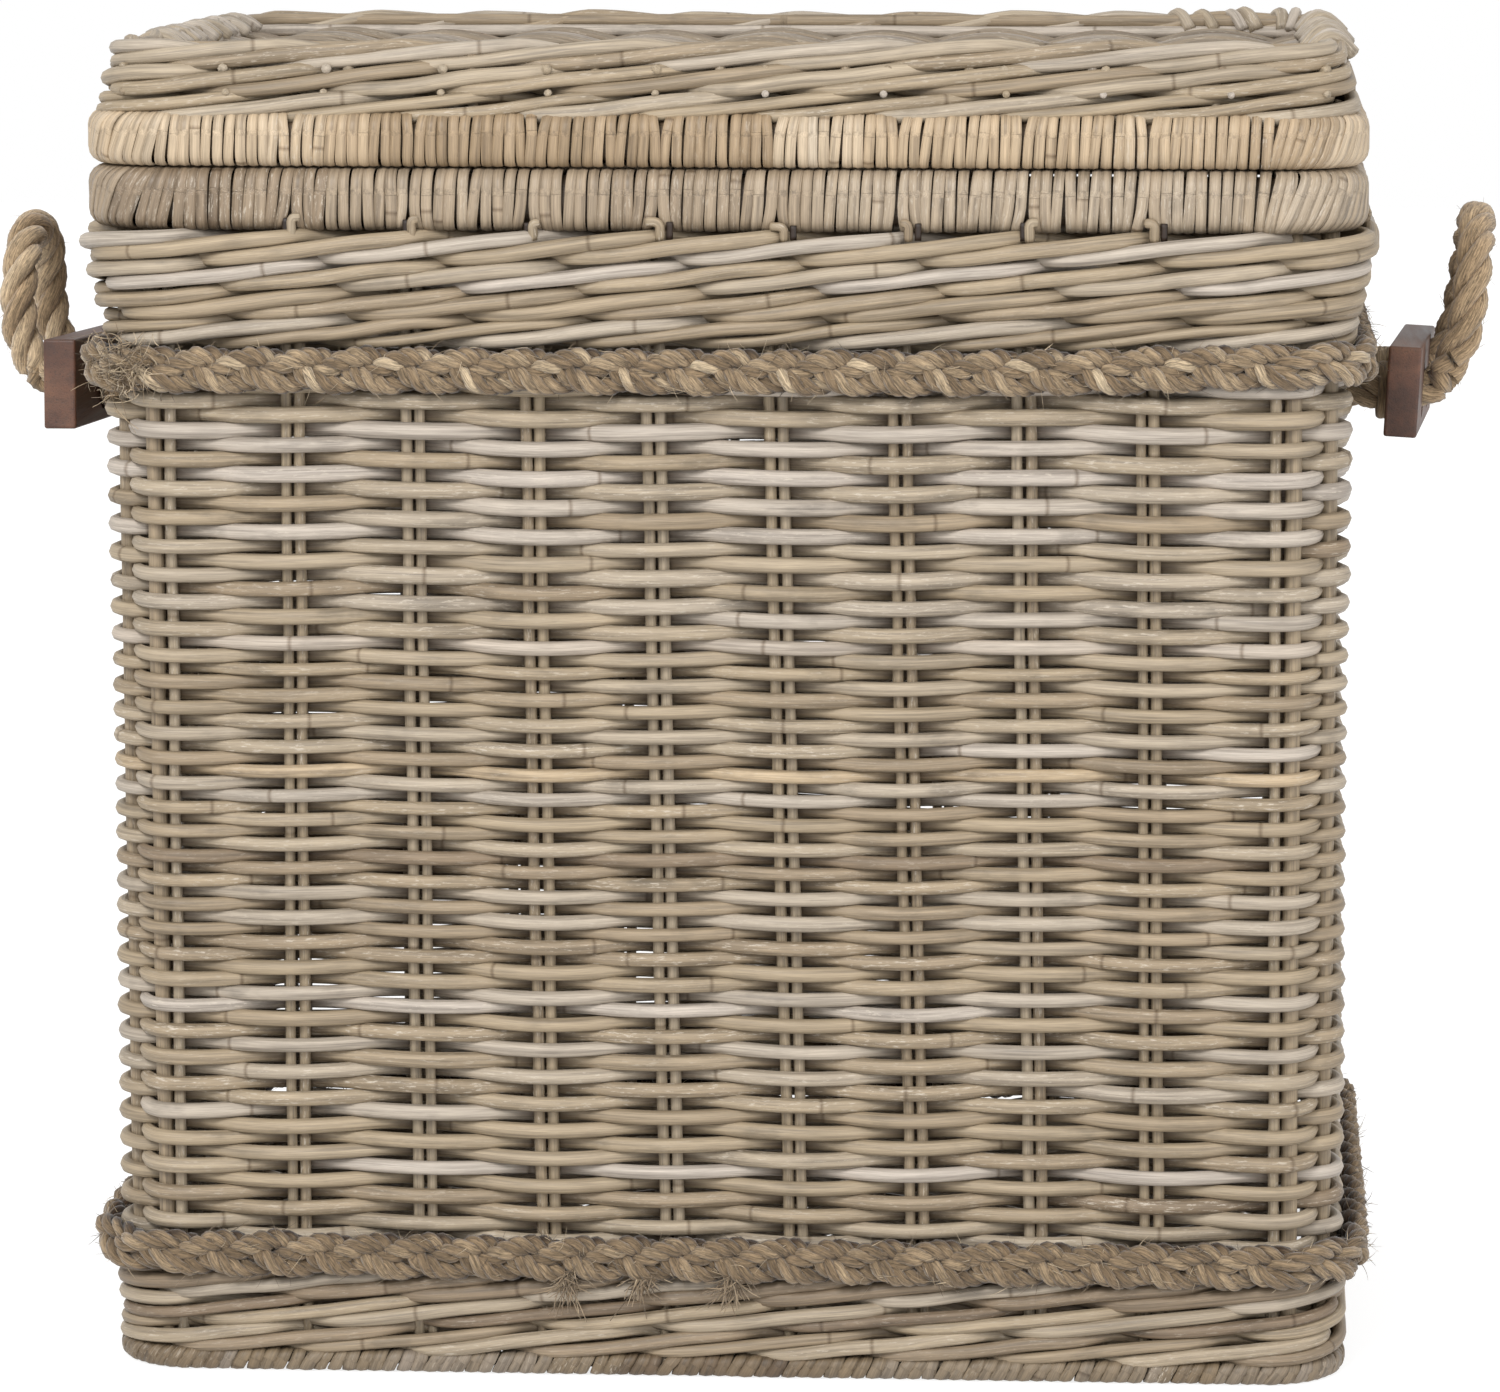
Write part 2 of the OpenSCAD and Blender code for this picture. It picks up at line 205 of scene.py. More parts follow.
class Strands:
    """Collects swept strands, then makes one mesh of them.

    Each point carries, for the materials, "lay", its place in the straightened strand in metres,
    "tint", three random numbers of its strand, and a depth of painted shade, how deep it sits in the
    weave from 0 to 1. A bake map holds the strands side by side.
    """

    def __init__(self):
        self.points, self.quads, self.caps = [], [], []
        self.lay, self.tint, self.seat, self.columns = [], [], [], []
        self.count = 0

    def add(self, path, hint, radius, sides, tint=None, closed=False, shape=None, caps=True,
            side=0.0, seat=0.0):
        """Sweeps a strand.

        radius is a number, one per point, or a pair (along hint, across it). side runs from 1
        where the strand is out in front to -1 where it is behind; where it is behind, its face towards
        hint gets painted shade, and the last argument adds more painted shade, per point or per point
        and side. shape gives how far the outline stands out, from the share of the length and the angle.
        """
        path = np.asarray(path, float)
        n = len(path)
        travel = steps(path, closed)
        hint = np.broadcast_to(np.asarray(hint, float), path.shape)
        up = unit(hint - travel * (hint * travel).sum(1, keepdims=True))
        across = np.cross(travel, up)
        ru, rv = radius if isinstance(radius, tuple) else (radius, radius)
        ru = np.broadcast_to(ru, (n,))[:, None]
        rv = np.broadcast_to(rv, (n,))[:, None]
        turn = np.arange(sides) / sides * TURN
        cu, cv = np.cos(turn)[None], np.sin(turn)[None]
        if shape is not None:
            grow = shape(np.arange(n)[:, None] / n, turn[None])
            cu, cv = cu * grow, cv * grow
        u, v = ru * cu, rv * cv
        rings = path[:, None] + up[:, None] * u[..., None] + across[:, None] * v[..., None]
        along = distances(path) + rng.random() * 9
        tint = rng.beta(2.0, 2.0, 3) if tint is None else np.asarray(tint, float)
        lay = np.stack([np.broadcast_to(along[:, None], u.shape), u, v], -1)
        # Depth of painted shade: the face towards hint darkens where the strand is behind, and the extra
        # painted shade given is added.
        depth = np.clip(-np.broadcast_to(side, (n,))[:, None] * np.cos(turn)[None], 0, 1)
        seat = np.asarray(seat, float)
        depth = np.clip(depth + (seat if seat.ndim == 2 else np.broadcast_to(seat, (n,))[:, None]), 0, 1)
        base = self.count
        i = np.arange(n if closed else n - 1)[:, None]
        j = np.arange(sides)[None]
        a, b = base + i * sides + j, base + i * sides + (j + 1) % sides
        c = base + (i + 1) % n * sides + (j + 1) % sides
        d = base + (i + 1) % n * sides + j
        self.quads.append(np.stack([a, b, c, d], -1).reshape(-1, 4))
        self.columns.append((len(i), sides))
        self.points.append(rings.reshape(-1, 3))
        self.lay.append(lay.reshape(-1, 3))
        self.tint.append(np.broadcast_to(tint, (n * sides, 3)))
        self.seat.append(depth.ravel())
        self.count += n * sides
        if not closed and caps:
            self.caps.append(np.arange(base, base + sides)[::-1])
            self.caps.append(np.arange(base + (n - 1) * sides, base + n * sides))

    def bake_map(self):
        """Places for every corner of every face: strips of the strands, one column of faces at a time."""
        total = sum(c for c, _ in self.columns)
        per_row = max(1, int(math.sqrt(total * 6.5)))
        rows = total // per_row + 1
        uv, at = [], 0
        for count, sides in self.columns:
            i = (at + np.arange(count))[:, None]
            j = np.arange(sides)[None]
            x, y = i % per_row / per_row, i // per_row
            left = np.broadcast_to(x, (count, sides))
            right = left + 1 / per_row
            bottom = (y + 0.06 + 0.88 * j / sides) / rows
            top = (y + 0.06 + 0.88 * (j + 1) / sides) / rows
            cell = np.stack([left, bottom, left, top, right, top, right, bottom], -1)
            uv.append(cell.reshape(-1, 2))
            at += count
        return np.concatenate(uv)

    def build(self, name, material, slot, body, *replaced):
        """Makes the mesh, which rides on body and stands for the CAD nodes named last."""
        points = np.concatenate(self.points)
        quads = np.concatenate(self.quads)
        mesh = bpy.data.meshes.new(name)
        mesh.vertices.add(len(points))
        mesh.vertices.foreach_set("co", points.astype(np.float32).ravel())
        sizes = np.concatenate([np.full(len(quads), 4), [len(c) for c in self.caps]]).astype(np.int32)
        corners = np.concatenate([quads.ravel()] + self.caps).astype(np.int32)
        mesh.loops.add(len(corners))
        mesh.loops.foreach_set("vertex_index", corners)
        mesh.polygons.add(len(sizes))
        mesh.polygons.foreach_set("loop_start", np.concatenate([[0], np.cumsum(sizes)[:-1]]).astype(np.int32))
        mesh.polygons.foreach_set("use_smooth", np.ones(len(sizes), bool))
        mesh.update(calc_edges=True)
        for key, values in (("lay", self.lay), ("tint", self.tint)):
            layer = mesh.attributes.new(key, "FLOAT_VECTOR", "POINT")
            layer.data.foreach_set("vector", np.concatenate(values).astype(np.float32).ravel())
        layer = mesh.attributes.new("seat", "FLOAT", "POINT")
        layer.data.foreach_set("value", np.concatenate(self.seat).astype(np.float32))
        uv = np.zeros((len(corners), 2))
        uv[: len(quads) * 4] = self.bake_map()
        mesh.uv_layers.new(name="OFBake").data.foreach_set("uv", uv.astype(np.float32).ravel())
        mesh.materials.append(material)
        piece = placed(name, mesh)
        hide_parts(*replaced)
        if body:
            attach(piece, body)
        return piece


def waves(x, length, count, seed=None):
    """Smooth noise of about -1 to 1 along x, that repeats after length."""
    r = rng if seed is None else np.random.default_rng(seed)
    total = np.zeros_like(x)
    for k in range(1, count + 1):
        total += r.normal() * np.sin(TURN * k * r.integers(1, 4) * x / length + r.random() * TURN) / count
    return total


def ring_path(s, out, z):
    """Points round the basket, and the outward direction at each."""
    s, out, z = np.broadcast_arrays(np.atleast_1d(s).astype(float), out, z)
    xy, normal = around(s, out)
    return np.column_stack([xy, z]), np.column_stack([normal, np.zeros(len(xy))])


# -------------------- materials


class Nodes:
    """Short ways to add and join shader nodes."""

    def __init__(self, name):
        self.material = bpy.data.materials.new(name)
        self.material.use_nodes = True
        self.tree = self.material.node_tree
        self.shader = self.tree.nodes["Principled BSDF"]

    def new(self, kind, **inputs):
        node = self.tree.nodes.new("ShaderNode" + kind)
        for key, value in inputs.items():
            self.give(node.inputs[key], value)
        return node

    def give(self, socket, value):
        if isinstance(value, bpy.types.NodeSocket):
            self.tree.links.new(value, socket)
        else:
            socket.default_value = value

    def surface(self, looks):
        """Gives each named socket of the shader a number, a colour or another node's output."""
        for key, value in looks.items():
            self.give(self.shader.inputs[key], value)

    def attribute(self, name, output="Vector"):
        node = self.new("Attribute")
        node.attribute_name = name
        return node.outputs[output]

    def parts(self, vector):
        return self.new("SeparateXYZ", Vector=vector).outputs

    def maths(self, operation, a, b=0.0):
        node = self.new("Math")
        node.operation = operation
        self.give(node.inputs[0], a)
        self.give(node.inputs[1], b)
        return node.outputs[0]

    def scaled(self, vector, by):
        node = self.new("VectorMath")
        node.operation = "MULTIPLY"
        self.give(node.inputs[0], vector)
        node.inputs[1].default_value = by
        return node.outputs[0]

    def noise(self, vector, scale, detail, rough):
        return self.new("TexNoise", Vector=vector, Scale=scale, Detail=detail, Roughness=rough).outputs["Fac"]

    def streaky(self, vector, by, detail, rough):
        """Noise drawn out along one direction: by is how fine it is along each."""
        return self.noise(self.scaled(vector, by), 1.0, detail, rough)

    def ramp(self, value, stops):
        node = self.new("ValToRGB")
        self.give(node.inputs[0], value)
        bar = node.color_ramp
        while len(bar.elements) < len(stops):
            bar.elements.new(0.5)
        for element, (place, colour) in zip(bar.elements, stops):
            element.position = place
            element.color = (*colour, 1)
        return node.outputs[0]

    def blend(self, kind, amount, a, b):
        node = self.new("Mix")
        node.data_type, node.blend_type = "RGBA", kind
        self.give(node.inputs[0], amount)
        self.give(node.inputs[6], a)
        self.give(node.inputs[7], b)
        return node.outputs[2]

    def times(self, a, b, amount=1.0):
        """Colour a darkened or lightened by colour b."""
        return self.blend("MULTIPLY", amount, a, b)

    def between(self, value, a, b, c=0.0, d=1.0):
        """The value, moved from the range a to b on to the range c to d."""
        node = self.new("MapRange")
        self.give(node.inputs[0], value)
        for i, number in enumerate((a, b, c, d), 1):
            node.inputs[i].default_value = number
        return node.outputs[0]

    def bump(self, height, distance, strength):
        return self.new("Bump", Height=height, Distance=distance, Strength=strength).outputs["Normal"]


def grey(v):
    return (v, v, v)


SCUFFED = (0.50, 0.44, 0.36, 1)             # cane whose skin is worn off
RING_LINE = (0.42, 0.36, 0.30, 1)           # a growth ring
CANE_PAINTED_SHADE = (0.24, 0.18, 0.135, 1)        # painted shade, deep between canes
ROPE_PAINTED_SHADE = (0.20, 0.15, 0.11, 1)         # painted shade, deep between plies


def cane_material(name, stops, dark=0.55, gloss=0.42):
    """Peeled cane: long fibres, growth rings, weathered blotches, a tone of its own for each strand, and
    painted shade where it sits deep in the weave.
    """
    n = Nodes(name)
    place = n.attribute("lay")
    tint = n.parts(n.attribute("tint"))
    tone = n.ramp(tint[0], stops)
    fibres = n.streaky(place, (60, 2600, 2600), 3.0, 0.6)
    streaks = n.streaky(place, (14, 500, 500), 3.0, 0.5)
    blotches = n.streaky(place, (26, 60, 60), 4.0, 0.6)
    flecks = n.streaky(place, (160, 900, 900), 5.0, 0.7)
    colour = n.times(tone, n.ramp(fibres, [(0.3, grey(0.74)), (0.7, grey(1.20))]))
    weather = [(0.32, (0.66, 0.65, 0.64)), (0.5, grey(1.0)), (0.7, grey(1.16))]
    colour = n.times(colour, n.ramp(streaks, weather))
    shade = n.ramp(blotches, [(0.32, grey(dark)), (0.46, grey(1.0)), (0.75, grey(1.08))])
    colour = n.times(colour, shade, n.between(tint[1], 0.2, 1.0, 0.15, 0.9))
    scuffed = n.maths("MULTIPLY", n.between(flecks, 0.56, 0.64), n.between(tint[2], 0.35, 0.9, 0.0, 0.8))
    colour = n.blend("MIX", scuffed, colour, SCUFFED)
    # Growth rings: a thin dark line at uneven distances along the strand.
    along = n.parts(place)[0]
    ring = n.maths("FRACT", n.maths("MULTIPLY", along, 4.3))
    ring = n.maths("ABSOLUTE", n.maths("SUBTRACT", ring, 0.5))
    ring = n.between(ring, 0.0, 0.0065, 1.0, 0.0)
    colour = n.times(colour, RING_LINE, n.maths("MULTIPLY", ring, 0.75))
    # Painted shade where the strand sits deep in the weave or behind its neighbours.
    painted_shade_mask = n.between(n.attribute("seat", "Fac"), 0.55, 1.0)
    colour = n.times(colour, CANE_PAINTED_SHADE, painted_shade_mask)
    height = n.maths("ADD", n.maths("MULTIPLY", fibres, 0.5), n.maths("MULTIPLY", streaks, 0.8))
    height = n.maths("ADD", height, n.maths("MULTIPLY", ring, 0.9))
    n.surface({"Base Color": colour, "Roughness": n.between(streaks, 0.2, 0.8, gloss, gloss + 0.24),
               "Specular IOR Level": 0.45, "Normal": n.bump(height, 0.0003, 1.0)})
    return n.material


def rope_material(name, stops):
    """Plant-fibre yarn: fine fibres across the lay, painted shade in the hollows, matte."""
    n = Nodes(name)
    place = n.attribute("lay")
    tint = n.parts(n.attribute("tint"))
    fibres = n.streaky(place, (110, 1500, 1500), 4.0, 0.65)
    broad = n.streaky(place, (45, 90, 90), 3.0, 0.6)
    tone = n.ramp(n.maths("ADD", n.maths("MULTIPLY", tint[0], 0.45), n.maths("MULTIPLY", broad, 0.6)), stops)
    colour = n.times(tone, n.ramp(fibres, [(0.34, grey(0.38)), (0.5, grey(0.95)), (0.66, grey(1.60))]))
    # Painted shade where the plies lie deep.
    colour = n.times(colour, ROPE_PAINTED_SHADE, n.between(n.attribute("seat", "Fac"), 0.1, 0.9))
    n.surface({"Base Color": colour, "Roughness": 0.85, "Specular IOR Level": 0.25, "Sheen Weight": 0.25,
               "Sheen Roughness": 0.5, "Normal": n.bump(fibres, 0.0005, 0.9)})
    return n.material


def rod_material(name, colour):
    """Cane for the CAD pieces that show between strands."""
    n = Nodes(name)
    place = n.new("TexCoord").outputs["Object"]
    fibres = n.streaky(place, (400, 400, 60), 3.0, 0.6)
    blotches = n.noise(place, 25.0, 3.0, 0.6)
    tone = n.ramp(blotches, [(0.3, [c * 0.6 for c in colour]), (0.7, colour)])
    tone = n.times(tone, n.ramp(fibres, [(0.3, grey(0.75)), (0.7, grey(1.1))]))
    n.surface({"Base Color": tone, "Roughness": n.between(fibres, 0.2, 0.8, 0.5, 0.75),
               "Normal": n.bump(fibres, 0.0003, 0.6)})
    return n.material


def wood_material(name):
    """Dark red-brown hardwood with its grain along the bar."""
    n = Nodes(name)
    place = n.new("TexCoord").outputs["Object"]
    grain = n.streaky(place, (160, 5, 160), 6.0, 0.65)
    figure = n.streaky(place, (30, 3, 45), 3.0, 0.5)
    pores = n.streaky(place, (1500, 60, 1500), 2.0, 0.5)
    tone = n.ramp(figure, WOOD_TONES)
    tone = n.times(tone, n.ramp(grain, [(0.28, grey(0.55)), (0.5, grey(1.0)), (0.75, grey(1.3))]))
    tone = n.times(tone, n.ramp(pores, [(0.30, grey(0.55)), (0.42, grey(1.0))]))
    height = n.maths("ADD", n.maths("MULTIPLY", grain, 0.6), n.maths("MULTIPLY", pores, 0.7))
    n.surface({"Base Color": tone, "Roughness": n.between(grain, 0.2, 0.8, 0.42, 0.66),
               "Normal": n.bump(height, 0.00025, 0.8)})
    return n.material


def dimmed(tones, by):
    return [(place, tuple(c * k for c, k in zip(tone, by))) for place, tone in tones]


CANE_TONES = [
    (0.00, (0.080, 0.052, 0.032)), (0.06, (0.170, 0.122, 0.078)), (0.22, (0.245, 0.187, 0.122)),
    (0.45, (0.290, 0.227, 0.150)), (0.62, (0.315, 0.257, 0.185)), (0.80, (0.345, 0.296, 0.240)),
    (0.92, (0.385, 0.335, 0.285)), (1.00, (0.370, 0.275, 0.165)),
]
PALE_TONES = [
    (0.00, (0.240, 0.170, 0.100)), (0.25, (0.325, 0.238, 0.149)), (0.55, (0.385, 0.291, 0.189)),
    (0.85, (0.430, 0.340, 0.237)), (1.00, (0.480, 0.402, 0.305)),
]
# Darker, browner tones for the foot: browner cane, and partly painted shade towards the floor.
BROWN_TONES = dimmed(CANE_TONES, (0.55, 0.51, 0.46))
FINE_TONES = dimmed(CANE_TONES, (0.80, 0.80, 0.83))
WRAP_TONES = [
    (0.00, (0.150, 0.108, 0.070)), (0.30, (0.225, 0.168, 0.112)), (0.60, (0.290, 0.225, 0.155)),
    (1.00, (0.360, 0.295, 0.220)),
]
PLAIT_TONES = [
    (0.20, (0.080, 0.053, 0.029)), (0.42, (0.160, 0.111, 0.064)),
    (0.60, (0.255, 0.187, 0.114)), (0.85, (0.400, 0.315, 0.208)),
]
LAID_TONES = [
    (0.20, (0.190, 0.130, 0.073)), (0.45, (0.300, 0.212, 0.125)),
    (0.65, (0.385, 0.287, 0.180)), (0.90, (0.475, 0.373, 0.250)),
]
WOOD_TONES = [(0.3, (0.045, 0.018, 0.010)), (0.5, (0.082, 0.033, 0.018)), (0.72, (0.140, 0.064, 0.034))]
cane = cane_material("cane", CANE_TONES)
brown_cane = cane_material("brown_cane", BROWN_TONES)
fine_cane = cane_material("fine_cane", FINE_TONES)
wrap_cane = cane_material("wrap_cane", WRAP_TONES, gloss=0.38)
pale_cane = cane_material("pale_cane", PALE_TONES, dark=0.72, gloss=0.38)
plait_rope = rope_material("plaited_rope", PLAIT_TONES)
laid_rope = rope_material("laid_rope", LAID_TONES)
dark_wood = wood_material("dark_wood")
rod_cane = rod_material("rod_cane", (0.33, 0.26, 0.18))

WEAVE_Z = (LOWER_BAND[1] - 9 * MM, UPPER_BAND[0] + 7 * MM)

# -------------------- stakes and posts


def lean(s, z):
    """How far the stakes have strayed along the wall: on the front their feet have drifted to the right."""
    x = np.mod(s - front_s(0) + ROUND / 2, ROUND) - ROUND / 2
    foot = 7 * MM * np.exp(-((x - 0.08) / 0.15) ** 2) - 4 * MM * np.exp(-((x + 0.21) / 0.05) ** 2)
    top = -3.5 * MM * np.exp(-((x + 0.02) / 0.19) ** 2)
    up = np.clip((z - WEAVE_Z[0]) / (WEAVE_Z[1] - WEAVE_Z[0]), 0, 1)
    return foot * (1 - up) + top * up


def upright(strands, s, radius):
    """One stake or post, a little bent, from the foot to the rim."""
    z = np.arange(*UPRIGHT, 9 * MM)
    wander = 0.5 * MM * waves(z, 0.5, 3)
    path, hint = ring_path(s + lean(s, z) + wander, STAKE_LINE, z)
    tint = rng.uniform((0.25, 0, 0), (0.6, 1, 1))
    strands.add(path, hint, radius * (1 + 0.05 * waves(z, 0.3, 4)), 10, tint=tint)


for wall, places in PAIRS.items():
    stakes = Strands()
    for s in places:
        for side in (-0.5, 0.5):
            upright(stakes, s + side * PAIR, STAKE_R * rng.uniform(0.92, 1.06))
    stakes.build(f"{wall}_stake_canes", cane, "cane", "basket", f"{wall}_stakes")
posts = Strands()
thin = Strands()
for k, degrees in enumerate(CORNER_ANGLES):
    for s in corner_s(degrees):
        if k in (1, 2):
            upright(posts, s, POST_R)
        else:
            upright(thin, s, STAKE_R)
posts.build("corner_post_canes", cane, "cane", "basket", "corner_posts")
thin.build("corner_stake_canes", cane, "cane", "basket", "corner_stakes")

# -------------------- the main weave

SAMPLES = 16                                # points from one stake to the next
ROWS = 65
DARK_ROW_Z = 0.16                           # most canes of the row at this height are dark
# Heights of the rows: the middle of the wall is woven with finer canes than its foot and its top.
thickness = 1 + 0.085 * np.cos(TURN * (np.arange(ROWS) + 0.5) / ROWS) + 0.025 * np.linspace(-1, 1, ROWS)
thickness = thickness / thickness.sum() * (WEAVE_Z[1] - WEAVE_Z[0])
ROW_Z = WEAVE_Z[0] + np.cumsum(thickness) - thickness / 2


def randing_row(strands, number):
    """One row: in front of one unit of stakes and behind the next, in strands of a few units each."""
    units = len(UNIT_S)
    breaks = sorted(rng.choice(np.arange(number % 2, units, 2), rng.integers(1, 4), replace=False))
    z0 = ROW_Z[number]
    girth = thickness[number] * 0.535
    dark = abs(z0 - DARK_ROW_Z) < 4 * MM
    for a, b in zip(breaks, breaks[1:] + [breaks[0] + units]):
        t = np.arange(a * SAMPLES - 4, b * SAMPLES + 5) / SAMPLES
        j = np.floor(t).astype(int)
        u = t - j
        here = UNIT_S[j % units] + ROUND * (j // units)
        after = UNIT_S[(j + 1) % units] + ROUND * ((j + 1) // units)
        s = here + (after - here) * u
        s = s + lean(np.mod(s, ROUND), z0)
        front = np.where((j + number) % 2 == 0, -1, 1)
        swing = girth + STAKE_R - 0.5 * MM
        size = girth * rng.normal(1.01, 0.05) * (1 + 0.035 * waves(s, 0.7, 4))
        side = front * np.cos(math.pi * u)
        out = STAKE_LINE + swing * side
        ends = np.minimum(np.arange(len(t)), np.arange(len(t))[::-1]) < 5
        out = np.where(ends, out - 1.2 * MM, out)
        z = z0 + 0.55 * MM * waves(s, ROUND, 6) + 1.4 * MM * waves(s, ROUND, 4, 77)
        path, hint = ring_path(s, out, z)
        tint = rng.beta(2.0, 2.0, 3)
        tint[0] = 0.01 if dark and rng.random() < 0.8 else np.clip(tint[0] + 0.35 * (z0 - 0.2), 0, 1)
        # Where the strand is behind the stakes its outer face is darkened: painted shade.
        strands.add(path, hint, (size, size * 1.05), 8, tint=tint, side=side)


WEAVE_NODES = ("front_weave", "back_weave", "left_weave", "right_weave", "corner_weave")
ROWS_PER_PIECE = 16
for first in range(0, ROWS, ROWS_PER_PIECE):
    band = Strands()
    for number in range(first, min(first + ROWS_PER_PIECE, ROWS)):
        randing_row(band, number)
    band.build(f"wall_weave_{first // ROWS_PER_PIECE + 1}", cane, "cane", "basket", *WEAVE_NODES)

# -------------------- wales

WALE_TURNS = 11                             # periods of three units, once round


def wale(strands, z_low, z_high, bands, out_at, radius=3.5 * MM, inner=-15.8 * MM):
    """Bands of three-rod waling: each cane passes in front of two units, rising, then behind one."""
    pitch = (z_high - z_low) / bands
    s = np.linspace(0, ROUND, 470, endpoint=False)
    for band in range(bands):
        middle = z_low + (band + 0.5) * pitch
        slip = rng.random()
        for k in range(3):
            phase = np.mod(s / ROUND * WALE_TURNS + k / 3 + slip, 1)
            front = np.tanh(2.4 * (np.cos(TURN * (phase - 1 / 3)) + 0.46))
            climb = np.where(phase < 2 / 3, phase * 1.5, 1 - (phase - 2 / 3) * 3)
            climb = 0.5 - 0.5 * np.cos(math.pi * climb) * 0.6 - 0.4 * (0.5 - climb)
            z = middle + (climb - 0.5) * pitch * 0.80 + 2.0 * MM * waves(s, ROUND, 12)
            face = out_at(z) - radius
            out = inner + (face - inner) * (front + 1) / 2 + 0.5 * MM * waves(s, ROUND, 4)
            path, hint = ring_path(s, out, z)
            size = radius * rng.normal(1.0, 0.07) * (1 + 0.12 * waves(s, ROUND, 12))
            # Where a cane is behind, its outer face is darkened: painted shade.
            strands.add(path, hint, size, 9, closed=True, side=front * 0.9)
        # The thin canes that fill the wall behind the stakes, a little darkened with painted shade.
        for z in (middle - pitch / 4, middle + pitch / 4):
            path, hint = ring_path(s, inner + 0.6 * MM * waves(s, ROUND, 9), z)
            strands.add(path, hint, (2.6 * MM, pitch * 0.29), 9, closed=True, seat=0.6)


lower = Strands()
wale(lower, FOOT_TOP - 3.5 * MM, LOWER_BAND[0] + 2 * MM, 3, lambda z: 1.0 * MM)
lower.build("lower_wale_canes", cane, "cane", "basket", "lower_wale")
FLARE = high("upper_wale", 0) - HALF_W
upper = Strands()
wale(upper, UPPER_WALE[0] - 1 * MM, UPPER_WALE[1], 4,
     lambda z: FLARE * np.clip((z - UPPER_WALE[0]) / (UPPER_WALE[1] - UPPER_WALE[0]), 0, 1) + 0.5 * MM)
upper.build("upper_wale_canes", cane, "cane", "basket", "upper_wale")

# -------------------- wrapped rims and foot


def pill(o1, o2, z1, z2, r):
    """Points round a rounded bar, and their outward directions, as (offset, height)."""
    per_arc, per_side = 5, 2
    points, normals = [], []
    centres = [(o2 - r, z2 - r, 0), (o1 + r, z2 - r, 90), (o1 + r, z1 + r, 180), (o2 - r, z1 + r, 270)]
    for k, (o, z, start) in enumerate(centres):
        for step in range(per_arc):
            angle = math.radians(start + 90 * step / (per_arc - 1))
            normals.append((math.cos(angle), math.sin(angle)))
            points.append((o + r * math.cos(angle), z + r * math.sin(angle)))
        o_next, z_next, _ = centres[(k + 1) % 4]
        angle = math.radians(start + 90)
        end = np.array(points[-1])
        begin = np.array([o_next + r * math.cos(angle), z_next + r * math.sin(angle)])
        for step in range(1, per_side + 1):
            points.append(tuple(end + (begin - end) * step / (per_side + 1)))
            normals.append((math.cos(angle), math.sin(angle)))
    return np.array(points), np.array(normals)


def even_places(pitch, out):
    """Distances along the walk that are evenly spaced at offset out, where the corners are longer."""
    s = np.linspace(0, ROUND, 4000)
    xy, _ = around(s[:-1], out)
    gone = np.concatenate([[0], np.cumsum(np.linalg.norm(np.roll(xy, -1, 0) - xy, axis=1))])
    count = int(gone[-1] / pitch)
    return np.interp((np.arange(count) + rng.uniform(-0.08, 0.08, count)) * gone[-1] / count, gone, s)


def at_corner(s):
    """1 in the middle of a corner, falling to 0 along its sides."""
    middles = np.array(corner_s(45))
    away = np.abs(np.mod(s - middles + ROUND / 2, ROUND) - ROUND / 2).min()
    return math.exp(-(away / (STAKE_BEND * 0.75)) ** 4)


PIN_HALF = 29 * MM                          # half the length of a hinge's pin
HINGE_X = high("hinge_pins", 0) - PIN_HALF
HINGE_REACH = 30 * MM                       # no turns of the rims' wrapping this near a hinge
PAIR_PLACES = np.array(sorted(PAIR_S))
WRAP_THICK = 1.9 * MM


def at_hinge(s):
    return any(abs(s - back_s(x)) < HINGE_REACH for x in (-HINGE_X, HINGE_X))


def wrapping(strands, section, pitch, slant, gap, gap_side, skips_hinges=False, sweep=0.0):
    """Flat cane wound round a bar, turn beside turn, over a core of canes.

    The turns part by gap at each pair of stakes, on the top (gap_side 1) or the underside (-1),
    and lean by sweep more at the corners.
    """
    points, normals = section
    middle, half = points[:, 1].mean(), np.ptp(points[:, 1]) / 2
    core = points[:, 0].mean()
    # The core of canes, in the darkest tone and darkened further with painted shade, as it shows only between
    # the turns.
    path, hint = ring_path(np.linspace(0, ROUND, 300, endpoint=False), core, middle)
    strands.add(path, hint, (np.ptp(points[:, 0]) / 2 - 3.2 * MM, half - 3.2 * MM), 12, tint=(0.02, 0.5, 0),
                closed=True, seat=0.8)
    tone = rng.random(3)
    for s0 in even_places(pitch, points[:, 0].max()):
        if skips_hinges and at_hinge(s0):
            continue
        if rng.random() < 0.12:
            tone = rng.beta(2.5, 2.5, 3)
        tint = np.clip(tone + rng.normal(0, 0.06, 3), 0, 1)
        height = (points[:, 1] - middle) / half
        shift = (slant + sweep * at_corner(s0)) * height + rng.normal(0, 0.4 * MM) * height
        d = s0 - PAIR_PLACES[np.argmin(np.abs(PAIR_PLACES - s0))]
        near = max(0.0, 1 - abs(d) / (2.6 * pitch))
        shift = shift + math.copysign(gap * near, d) * np.clip(gap_side * height, 0, 1) ** 1.5
        out = points[:, 0] - normals[:, 0] * WRAP_THICK / 2 + rng.normal(0, 0.25 * MM)
        xy, normal = around(s0 + shift, out)
        path = np.column_stack([xy, points[:, 1] - normals[:, 1] * WRAP_THICK / 2])
        hint = np.column_stack([normal * normals[:, :1], normals[:, 1]])
        width = pitch * rng.uniform(0.50, 0.56)
        strands.add(path, hint, (WRAP_THICK / 2, width), 6, tint=tint, closed=True)


